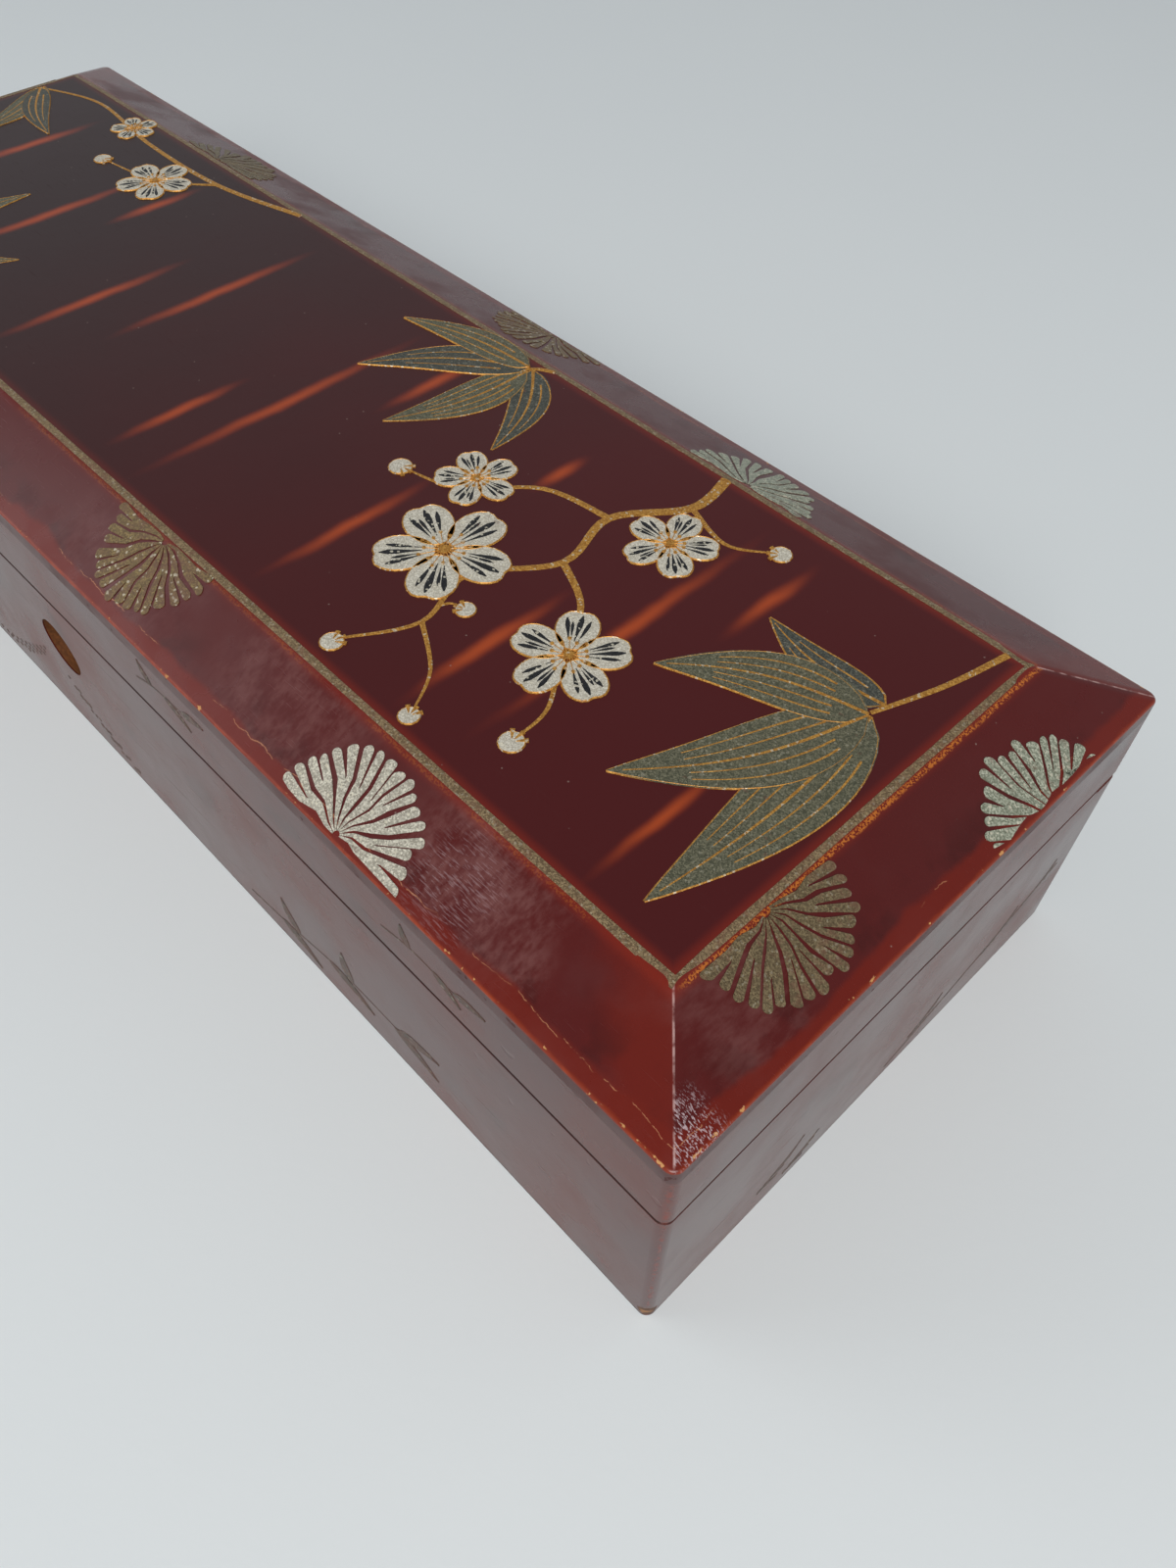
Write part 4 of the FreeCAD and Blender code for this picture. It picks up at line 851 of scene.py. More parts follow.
        return s.finish(rough, height, 0.05, IOR=1.46, Metallic=flecks * 0.7)


@dataclass(frozen=True)
class Powder:
    """Metal powder sprinkled in lacquer: separate grains, some bright, worn thin in places."""

    name: str
    bright: Tone
    dark: Tone
    ground: Tone = tone(90, 48, 32)
    grain: float = 0.22
    metal: float = 0.55
    worn: float = 0.25
    glint: float = 0.6

    def make(self) -> bpy.types.Material:
        """Builds the material."""
        s = Shader(self.name)
        grains, _ = s.grains(self.grain)
        s.base = s.mix(grains ** 1.6, self.dark, self.bright)
        glints, _ = s.grains(self.grain * 1.7, 5.0)
        s.coat(s.maths("GREATER_THAN", glints, 0.94) * self.glint, tone(236, 228, 204))
        thin = s.step(s.noise(1.3, 4, 1) + s.noise(14, 2, 2) * 0.4, 0.86 - self.worn, 0.98 - self.worn * 0.4)
        s.coat(thin * 0.55, self.ground)
        return s.finish(0.36 + grains * 0.22, grains, Metallic=(1 - thin) * self.metal)


@dataclass(frozen=True)
class Metal:
    """Old metal: a worn bright tone with tarnish in clouds and fine scratches."""

    name: str
    bright: Tone
    tarnish: Tone
    spots: Tone
    rough: float = 0.3
    age: float = 0.5

    def make(self) -> bpy.types.Material:
        """Builds the material."""
        s = Shader(self.name)
        clouds = s.noise(5.0, 5, 1)
        s.base = s.mix(s.step(clouds, 0.62 - 0.3 * self.age, 0.8 - 0.1 * self.age), self.bright, self.tarnish)
        pits = s.step(s.noise(0.8, 3, 2), 0.66, 0.74)
        s.coat(pits * 0.7, self.spots)
        lines = s.noise(0.18, 2, 3, (20.0, 1.0, 1.0), turn=(0.2, 0.1, 0.4))
        rough = self.rough + s.step(clouds, 0.4, 0.7) * 0.18 + pits * 0.2 + lines * 0.08
        return s.finish(rough, lines * 0.4 + clouds - pits * 0.7, Metallic=1 - pits * 0.5)


@dataclass(frozen=True)
class Mottled:
    """A plain material with two tones in clouds, a fine grain that may be drawn out, and darker pores."""

    name: str
    first: Tone
    second: Tone
    pores: Tone
    cloud: float = 12.0
    grain: float = 0.8
    drawn: Place = (1.0, 1.0, 1.0)
    rough: float = 0.5

    def make(self) -> bpy.types.Material:
        """Builds the material."""
        s = Shader(self.name)
        clouds = s.noise(self.cloud, 5, 1)
        fine = s.noise(self.grain, 4, 2, self.drawn)
        s.base = s.mix(s.step(clouds * 0.6 + fine * 0.4, 0.38, 0.64), self.first, self.second)
        pores = s.step(s.noise(self.grain * 0.6, 3, 3, self.drawn), 0.64, 0.74)
        s.coat(pores * 0.7, self.pores)
        rough = self.rough + clouds * 0.1 + pores * 0.12
        return s.finish(rough, clouds + fine * 0.6 - pores * 0.5, 0.05, IOR=1.5)


class Gold(Enum):
    """The powders of the decoration."""

    BORDER = Powder("border_powder", tone(176, 152, 114), tone(120, 98, 72),
                    grain=0.18, worn=0.2, glint=0.25)
    LINE = Powder("line_gold", tone(226, 172, 84), tone(176, 118, 46), grain=0.2, metal=0.5, worn=0.0)
    SILVER = Powder("silver_powder", tone(232, 226, 208), tone(160, 152, 136),
                    grain=0.2, metal=0.45, worn=0.05)
    BRONZE = Powder("bronze_powder", tone(158, 136, 92), tone(104, 84, 58), grain=0.22, worn=0.3)
    OLIVE = Powder("olive_powder", tone(150, 132, 98), tone(104, 88, 64), grain=0.18, worn=0.18, glint=0.2)
    GREY = Powder("grey_powder", tone(206, 208, 186), tone(128, 132, 112), grain=0.2, metal=0.4, worn=0.1)
    LEAF = Powder("leaf_powder", tone(130, 126, 102), tone(80, 80, 62),
                  grain=0.18, metal=0.3, worn=0.02, glint=0.15)
    DUSK = Powder("dusk_powder", tone(106, 106, 94), tone(62, 64, 58),
                  grain=0.18, metal=0.3, worn=0.04, glint=0.15)
    WHITE = Powder("white_powder", tone(232, 226, 210), tone(186, 178, 160),
                   grain=0.18, metal=0.15, worn=0.0)
    BLACK = Powder("black_line", tone(44, 44, 46), tone(16, 16, 18), grain=0.2, metal=0.1, worn=0.0)
    FADED = Powder("faded_powder", tone(92, 84, 70), tone(50, 42, 36),
                   grain=0.25, metal=0.2, worn=0.35, glint=0.2)


PAINTS: dict[Gold, bpy.types.Material] = {}


def paint(gold: Gold) -> bpy.types.Material:
    """Gives the material of a powder, made once."""
    if gold not in PAINTS:
        PAINTS[gold] = gold.value.make()
    return PAINTS[gold]


# Decoration

SUNK = -0.03
PETAL_VEINS = ((-0.03, 0.3, 0.88, 1.1), (-0.18, 0.3, 0.78, 0.8), (0.1, 0.36, 0.72, 0.6),
               (0.21, 0.32, 0.8, 0.9))


@dataclass
class Relief:
    """Thin raised shapes of one powder, laid on a surface of the box."""

    name: str
    gold: Gold
    body: str
    ground: Lift
    turned: bool = False
    points: list[Place] = field(default_factory=list)
    faces: list[list[int]] = field(default_factory=list)

    def patch(self, outline: Sequence[Point], lift: float = 0.07) -> None:
        """Lays a flat shape with a closed rim.

        Args:
            outline: Its corners.
            lift: Height of its face over the surface.
        """
        area = sum(a[0] * b[1] - b[0] * a[1] for a, b in zip(outline, [*outline[1:], outline[0]]))
        loop = list(outline) if area > 0 else list(reversed(outline))
        start, count = len(self.points), len(loop)
        self.points += [self.ground(u, v, level) for level in (lift, SUNK) for u, v in loop]
        self.faces.append([start + i for i in range(count)])
        self.faces.append([start + count + i for i in reversed(range(count))])
        for i in range(count):
            after = start + (i + 1) % count
            self.faces.append([start + i, start + count + i, after + count, after])

    def stroke(self, line: Sequence[Point], widths: Sequence[float], lift: float = 0.1, rim: float = 0.03,
               closed: bool = False) -> None:
        """Lays a line with a low crown, of changing width.

        Args:
            line: The points of its middle.
            widths: Its full width at each point.
            lift: Height of the crown over the surface.
            rim: Height of its edges over the surface.
            closed: Whether its end joins its start.
        """
        start, count = len(self.points), len(line)
        for number, (u, v) in enumerate(line):
            before = line[number - 1] if number or closed else line[number]
            after = line[(number + 1) % count] if number < count - 1 or closed else line[number]
            du, dv = after[0] - before[0], after[1] - before[1]
            size = math.hypot(du, dv) or 1.0
            bend = 1.0
            if closed or 0 < number < count - 1:
                first = math.atan2(v - before[1], u - before[0])
                second = math.atan2(after[1] - v, after[0] - u)
                bend = 1 / max(abs(math.cos((second - first) / 2)), 0.5)
            half = widths[number] / 2 * bend
            nu, nv = -dv / size * half, du / size * half
            self.points += [self.ground(u + nu, v + nv, rim), self.ground(u, v, lift),
                            self.ground(u - nu, v - nv, rim), self.ground(u - nu, v - nv, -0.03),
                            self.ground(u + nu, v + nv, -0.03)]
        spans = count if closed else count - 1
        for number in range(spans):
            a, b = start + 5 * number, start + 5 * ((number + 1) % count)
            self.faces += [[a + i, a + (i + 1) % 5, b + (i + 1) % 5, b + i] for i in range(5)]
        if not closed:
            self.faces.append([start + i for i in reversed(range(5))])
            self.faces.append([start + 5 * (count - 1) + i for i in range(5)])

    def finish(self) -> bpy.types.Object:
        """Makes the piece."""
        faces = [list(reversed(face)) for face in self.faces] if self.turned else self.faces
        return keep(mesh_of(self.name, self.points, faces, sharp=50), self.name, self.body,
                    paint(self.gold))


@dataclass
class Border:
    """The gold line round the panel, just inside the crease."""

    inset: float = 14.35
    width: float = 1.15

    def build(self) -> None:
        """Draws the line as a closed stroke."""
        relief = Relief("gold_border", Gold.BORDER, "lid", on_top)
        half_x, half_y = LID.half_length - self.inset, LID.half_width - self.inset
        corners = [(half_x, half_y), (-half_x, half_y), (-half_x, -half_y), (half_x, -half_y)]
        line: list[Point] = []
        for (ax, ay), (bx, by) in zip(corners, [*corners[1:], corners[0]]):
            count = 24 if abs(ax - bx) > abs(ay - by) else 12
            line += [(ax + (bx - ax) * i / count, ay + (by - ay) * i / count) for i in range(count)]
        wobble = random.Random(3)
        relief.stroke(line, [self.width * wobble.uniform(0.93, 1.07) for _ in line], 0.09, 0.05, closed=True)
        relief.finish()


@dataclass(frozen=True)
class Fan:
    """One rosette: a fan of forked petals round a hub on the edge or on the gold line."""

    side: Side
    run: float
    hub: float
    inwards: bool
    gold: Gold
    radius: float = 12.2
    span: float = 186.0
    seed: int = 1


@dataclass
class Rosettes:
    """The fans of petals on the bevels. Their petals are set round the hubs by Geometry Nodes."""

    fans: tuple[Fan, ...] = (
        Fan(Side.FRONT, 83.8, 0.9, True, Gold.SILVER, 12.4, 186, 3),
        Fan(Side.FRONT, 26.8, 13.4, False, Gold.BRONZE, 12.6, 184, 4),
        Fan(Side.RIGHT, -20.8, 13.3, False, Gold.OLIVE, 12.2, 180, 5),
        Fan(Side.RIGHT, 21.6, -2.4, True, Gold.GREY, 13.0, 176, 6),
        Fan(Side.BACK, 76.5, 13.4, False, Gold.GREY, 12.4, 184, 7),
        Fan(Side.BACK, 19.0, 0.9, True, Gold.BRONZE, 12.2, 184, 8),
        Fan(Side.BACK, -72.0, 13.4, False, Gold.OLIVE, 12.4, 184, 9),
        Fan(Side.FRONT, -52.0, 0.9, True, Gold.GREY, 12.4, 186, 10),
        Fan(Side.FRONT, -104.0, 13.4, False, Gold.OLIVE, 12.2, 184, 11),
        Fan(Side.LEFT, 20.0, 13.4, False, Gold.BRONZE, 12.2, 182, 12),
        Fan(Side.LEFT, -22.0, 0.9, True, Gold.SILVER, 12.0, 184, 13),
    )
    petals: int = 9
    reach: float = 12.3
    margin: float = 0.85
    crease: float = 13.75

    def petal(self, name: str, radius: float, notch: float, short: float) -> bpy.types.Object:
        """Makes one forked petal that points along x.

        Args:
            name: Name of its object.
            radius: How far its longer tip reaches.
            notch: How far out the fork starts, as a share of the radius.
            short: How much shorter the other tip is.

        Returns:
            An object for the tree to copy.
        """
        half = math.radians(188 / self.petals / 2)

        def side(reach: float) -> float:
            """Gives the petal's half width, so that the gap between petals widens outwards."""
            return max(reach * math.tan(half) - min(0.06 + 0.042 * reach, 0.36), 0.1)

        tip = side(radius - 1.0) / 2 - 0.12
        outline: list[Point] = [(reach, -side(reach)) for reach in (0.7, 2.5, 5.0, 0.62 * radius)]
        for sign, cut in ((-1, 0.0), (1, short)):
            x = radius - tip - cut
            y = sign * (side(x) - tip * 0.97)
            turns = along(-1.7, 1.35, 9) if sign < 0 else along(-1.35, 1.7, 9)
            outline += [(x + tip * math.cos(turn), y + tip * math.sin(turn)) for turn in turns]
            if sign < 0:
                outline += [(notch * radius + 0.5, -0.1), (notch * radius, 0.0), (notch * radius + 0.5, 0.1)]
        outline += [(reach, side(reach)) for reach in (0.62 * radius, 5.0, 2.5, 0.7)]
        mesh = mesh_of(name, [(x, y, 0.0) for x, y in outline], [range(len(outline))], smooth=False)
        return placed(name, mesh)

    def tree(self, petals: Sequence[bpy.types.Object]) -> Grower:
        """Builds the tree that sets petals round a hub."""
        g = Grower("petal_fan", {
            "Petals": ("NodeSocketInt", self.petals), "Span": ("NodeSocketFloat", math.pi),
            "Waver": ("NodeSocketFloat", 0.02), "Seed": ("NodeSocketInt", 1),
            "Material": ("NodeSocketMaterial", None)})
        count, seed = g.given("Petals"), g.given("Seed")
        share = g.get("GeometryNodeInputIndex") / (count - 1)
        turn = (share - 0.5) * g.given("Span") + g.chance(-1.0, 1.0, seed) * g.given("Waver")
        shapes = g.add("GeometryNodeJoinGeometry")
        for petal in petals:
            g.tree.links.new(g.copies(petal).socket, shapes.inputs[0])
        pick = g.get("FunctionNodeRandomValue", {4: 0, 5: len(petals) - 1, "Seed": seed}, 2, data_type="INT")
        size = g.chance(0.93, 1.0, seed + 7.0)
        g.end(g.get("GeometryNodeInstanceOnPoints", {
            "Points": g.get("GeometryNodePoints", {"Count": count}), "Instance": g.out(shapes),
            "Pick Instance": True, "Instance Index": pick,
            "Rotation": g.get("ShaderNodeCombineXYZ", {2: turn}),
            "Scale": g.get("ShaderNodeCombineXYZ", {0: size, 1: size, 2: 1.0})}))
        return g

    def lay(self, mesh: bpy.types.Mesh, fan: Fan) -> None:
        """Cuts a fan at the lid's edge and lays it on its bevel.

        Args:
            mesh: The flat fan, its hub at the origin and its middle petal along x.
            fan: Where it goes.
        """
        flat = math.cos(LID.slope)
        sign = 1 if fan.inwards else -1
        low = (self.margin - fan.hub if fan.inwards else fan.hub - self.crease) / flat
        cuts = [(low, {"clear_inner": True})]
        if not fan.inwards:
            cuts.append(((fan.hub - self.margin) / flat, {"clear_outer": True}))
        shape = bmesh.new()
        shape.from_mesh(mesh)
        for reach, side in cuts:
            bmesh.ops.bisect_plane(shape, geom=[*shape.verts, *shape.edges, *shape.faces], dist=1e-7,
                                   plane_co=(0.001 * reach, 0, 0), plane_no=(1, 0, 0), **side)
        for point in shape.verts:
            out, run = 1000 * point.co.x, 1000 * point.co.y
            run += 0.3 * math.sin(0.8 * out + 1.6 * math.sin(0.5 * run) + fan.seed)
            out += 0.34 * math.sin(0.9 * run + 2 * fan.seed)
            x, y = fan.side.plan(fan.run + run, fan.hub + sign * out * flat)
            point.co = metres(on_top(x, y, 0.03))
        shape.normal_update()
        for face in shape.faces:
            if face.normal.z < 0:
                face.normal_flip()
        shape.to_mesh(mesh)
        shape.free()

    def build(self) -> None:
        """Grows each fan and lays it on its bevel."""
        shapes = [self.petal(f"petal_shape_{n}", self.reach, notch, short)
                  for n, (notch, short) in enumerate(((0.55, 0.0), (0.66, 0.5), (0.6, -0.35), (0.48, 0.9)))]
        tree = self.tree(shapes)
        for number, fan in enumerate(self.fans):
            span = math.radians(fan.span) * (1 - 1 / self.petals)
            mesh = tree.grow(bpy.data.meshes.new("hub"), {
                "Petals": self.petals, "Span": span, "Waver": 0.02, "Seed": fan.seed,
                "Material": paint(fan.gold)})
            mesh.transform(Matrix.Scale(fan.radius / self.reach, 4))
            self.lay(mesh, fan)
            name = f"rosette_{fan.side.name.lower()}_{number}"
            piece = keep(mesh, name, "lid", paint(fan.gold))
            raised = piece.modifiers.new("Raised", "SOLIDIFY")
            raised.thickness = 0.00009
            raised.offset = 1.0
        for shape in shapes:
            bpy.data.objects.remove(shape)


@dataclass(frozen=True)
class Leaf:
    """One bamboo leaf of the design."""

    base: Point
    tip: Point
    width: float = 7.6
    bend: float = 2.0
    gold: Gold = Gold.LEAF


@dataclass(frozen=True)
class Blossom:
    """One plum blossom of the design."""

    at: Point
    radius: float
    turn: float = 0.0


@dataclass(frozen=True)
class Twig:
    """A drawn stem that thins along its points."""

    points: tuple[Point, ...]
    thick: float
    thin: float


class Brushwork:
    """Draws leaves, blossoms and twigs as reliefs, one for each powder."""

    def __init__(self, name: str, body: str, ground: Lift, turned: bool = False) -> None:
        """Takes the ground that it draws on."""
        self.name, self.body, self.ground, self.turned = name, body, ground, turned
        self.reliefs: dict[Gold, Relief] = {}

    def relief(self, gold: Gold) -> Relief:
        """Gives the relief of a powder, started when first asked for."""
        if gold not in self.reliefs:
            name = f"{self.name}_{gold.name.lower()}"
            self.reliefs[gold] = Relief(name, gold, self.body, self.ground, self.turned)
        return self.reliefs[gold]

    def twig(self, twig: Twig, gold: Gold = Gold.LINE, lift: float = 0.13) -> None:
        """Draws a stem."""
        line = sweep(twig.points, 7)
        self.relief(gold).stroke(line, along(twig.thick, twig.thin, len(line)), lift)

    def leaf(self, leaf: Leaf, veins: int = 2, lines: Gold = Gold.LINE, raised: float = 0.0) -> None:
        """Draws a leaf with its outline, midrib and side veins.

        Args:
            leaf: The leaf.
            veins: How many side veins each half has.
            lines: Powder of the veins and outline.
            raised: Height of the leaves below it.
        """
        dx, dy = leaf.tip[0] - leaf.base[0], leaf.tip[1] - leaf.base[1]
        size = math.hypot(dx, dy)
        nx, ny = -dy / size, dx / size
        shares = along(0.0, 1.0, 19)
        middle = [(leaf.base[0] + dx * t + nx * leaf.bend * math.sin(math.pi * t),
                   leaf.base[1] + dy * t + ny * leaf.bend * math.sin(math.pi * t)) for t in shares]
        widths = [max(leaf.width * math.sin(math.pi * t ** 0.72) ** 0.85 * (1 - 0.25 * t), 0.12)
                  for t in shares]
        self.relief(leaf.gold).stroke(middle, widths, 0.06 + raised, 0.05 + raised)

        def beside(share: float) -> list[Point]:
            """Gives the line at a share of the half width beside the middle."""
            return [(x + nx * w / 2 * share, y + ny * w / 2 * share) for (x, y), w in zip(middle, widths)]

        gold = self.relief(lines)
        gold.stroke(middle[:-1], along(0.62, 0.2, 18), 0.1 + raised, 0.055 + raised)
        for share in (-1.0, 1.0):
            gold.stroke(beside(share), [0.3] * 19, 0.09 + raised, 0.03)
            for number in range(1, veins + 1):
                inner = beside(share * number / (veins + 1))
                gold.stroke(inner[3:-5], along(0.34, 0.14, 11), 0.095 + raised, 0.055 + raised)

    def petal(self, blossom: Blossom, angle: float) -> None:
        """Draws one petal: white ground, dark shading strokes and a fine gold outline."""
        size, at = blossom.radius, blossom.at

        def place(out: float, across: float) -> Point:
            """Turns a place on the petal into one on the ground."""
            return (at[0] + size * (out * math.cos(angle) - across * math.sin(angle)),
                    at[1] + size * (out * math.sin(angle) + across * math.cos(angle)))

        outline = []
        for turn in along(-math.pi, math.pi, 25)[:-1]:
            reach = 0.44 * (1 - 0.14 * math.exp(-(turn / 0.28) ** 2))
            across = 0.345 * math.sin(turn) * (1 + 0.12 * math.cos(turn))
            outline.append(place(0.56 + reach * math.cos(turn), across))
        self.relief(Gold.WHITE).patch(outline, 0.16)
        for across, low, high, thick in PETAL_VEINS:
            line = [place(t, across * (t / high)) for t in along(low, high, 6)]
            widths = [size * thick * part for part in (0.012, 0.03, 0.055, 0.085, 0.085, 0.02)]
            self.relief(Gold.BLACK).stroke(line, widths, 0.21, 0.165)
        self.relief(Gold.LINE).stroke(outline, [0.34] * len(outline), 0.24, 0.05, closed=True)

    def blossom(self, blossom: Blossom) -> None:
        """Draws a whole open blossom."""
        gold = self.relief(Gold.LINE)
        for number in range(5):
            self.petal(blossom, blossom.turn + number * 2 * math.pi / 5)
        at, size = blossom.at, blossom.radius
        for number in range(15):
            angle = blossom.turn + 0.2 + number * 2 * math.pi / 15
            reach = size * (0.36 if number % 2 else 0.28)
            end = (at[0] + reach * math.cos(angle), at[1] + reach * math.sin(angle))
            middle = ((at[0] + end[0]) / 2, (at[1] + end[1]) / 2)
            gold.stroke([at, middle, end], [0.16, 0.13, 0.11], 0.26, 0.2)
            gold.patch(circle(end, 0.3, 9), 0.27)
        gold.patch(circle(at, 0.085 * size, 9), 0.28)

    def bud(self, at: Point, radius: float, angle: float) -> None:
        """Draws a closed bud with its calyx."""
        self.relief(Gold.WHITE).patch(circle(at, radius, 14), 0.16)
        self.relief(Gold.LINE).stroke(circle(at, radius, 14), [0.28] * 14, 0.22, 0.05, closed=True)
        for turn in (-0.7, 0.0, 0.7):
            line = [(at[0] + share * radius * math.cos(angle + math.pi + turn),
                     at[1] + share * radius * math.sin(angle + math.pi + turn)) for share in (1.25, 0.8, 0.3)]
            self.relief(Gold.LINE).stroke(line, [0.7, 0.45, 0.15], 0.24, 0.165)

    def finish(self) -> None:
        """Makes the pieces."""
        for relief in self.reliefs.values():
            relief.finish()


@dataclass
class PanelPainting:
    """The design on the panel: a plum branch and sprays of bamboo leaves in coloured powders."""

    leaves: tuple[Leaf, ...] = (
        Leaf((120.0, 12.0), (94.0, -2.0), 11.0, -2.5), Leaf((120.0, 12.0), (103.0, -20.0), 12.5, 2.6),
        Leaf((120.5, 12.0), (120.0, -30.5), 12.5, 1.6),
        Leaf((120.5, 15.0), (99.0, 16.5), 7.4, 1.6, Gold.DUSK),
        Leaf((30.0, 33.0), (3.0, 27.0), 7.4, -1.6), Leaf((30.0, 33.0), (9.0, 12.0), 9.0, -2.2, Gold.DUSK),
        Leaf((30.5, 32.0), (25.0, 5.0), 9.4, 2.0), Leaf((31.0, 33.0), (43.0, 13.0), 7.4, 2.2, Gold.DUSK),
        Leaf((-84.0, -31.0), (-108.0, -24.0), 6.6, 1.6),
        Leaf((-84.0, -31.0), (-103.0, -9.0), 7.8, 2.4, Gold.DUSK),
        Leaf((-83.0, -30.0), (-84.0, 0.0), 8.2, 1.6), Leaf((-82.0, -31.0), (-62.0, -14.0), 7.0, -2.0),
        Leaf((-128.0, 26.0), (-106.0, 16.0), 6.6, -1.8, Gold.DUSK),
        Leaf((-128.0, 27.0), (-117.0, 4.0), 7.4, 2.2),
    )
    twigs: tuple[Twig, ...] = (
        Twig(((74.0, 35.2), (75.0, 26.0), (68.0, 15.0), (70.5, 3.0), (63.0, -9.0), (66.0, -20.0),
              (61.0, -30.0)), 1.9, 0.5),
        Twig(((68.0, 15.0), (56.0, 12.5), (47.0, 3.0), (38.0, 0.0)), 1.2, 0.4),
        Twig(((70.5, 3.0), (79.0, -1.5), (84.0, -10.0), (90.0, -18.0), (91.0, -24.0)), 1.2, 0.4),
        Twig(((75.0, 26.0), (84.0, 23.5), (90.0, 27.0)), 1.0, 0.35),
        Twig(((66.0, -20.0), (74.0, -25.0), (78.0, -31.0)), 0.8, 0.3),
        Twig(((126.5, 35.0), (124.0, 24.0), (120.0, 12.5)), 1.1, 0.7),
        Twig(((65.0, -16.4), (65.8, -14.8), (66.6, -14.3)), 0.6, 0.3),
        Twig(((34.0, 35.4), (31.5, 34.0), (30.0, 32.5)), 1.0, 0.7),
        Twig(((-74.0, -35.4), (-80.0, -33.5), (-84.0, -31.0)), 1.0, 0.7),
        Twig(((-40.0, 35.2), (-62.0, 30.0), (-88.0, 29.5), (-112.0, 32.0), (-128.0, 26.5)), 1.3, 0.6),
        Twig(((-62.0, 30.0), (-72.0, 22.0), (-86.0, 19.0)), 0.9, 0.35),
    )
    blossoms: tuple[Blossom, ...] = (
        Blossom((56.5, -8.0), 11.0, 0.3), Blossom((85.0, -9.5), 9.0, 0.9), Blossom((47.0, 6.5), 7.0, 0.1),
        Blossom((78.5, 17.5), 7.6, 0.6), Blossom((-72.0, 21.5), 8.0, 0.5), Blossom((-96.0, 31.0), 5.2, 0.2),
    )
    buds: tuple[tuple[Point, float, float], ...] = (
        ((36.5, -0.4), 1.9, 3.3), ((91.2, -25.6), 1.8, -1.5), ((60.6, -31.6), 1.7, -1.8),
        ((78.6, -32.4), 1.5, -1.3), ((91.4, 27.8), 1.7, 0.6), ((-87.8, 18.6), 1.8, 3.4),
        ((68.4, -14.0), 1.5, 0.3),
    )

    def build(self) -> None:
        """Draws the whole design on the lid."""
        work = Brushwork("panel", "lid", on_top)
        for number, leaf in enumerate(self.leaves):
            work.leaf(leaf, 2 if leaf.width > 9 else 1, raised=0.05 * (3 - number % 4))
        for twig in self.twigs:
            work.twig(twig)
        for blossom in self.blossoms:
            work.blossom(blossom)
        for at, radius, angle in self.buds:
            work.bud(at, radius, angle)
        work.finish()


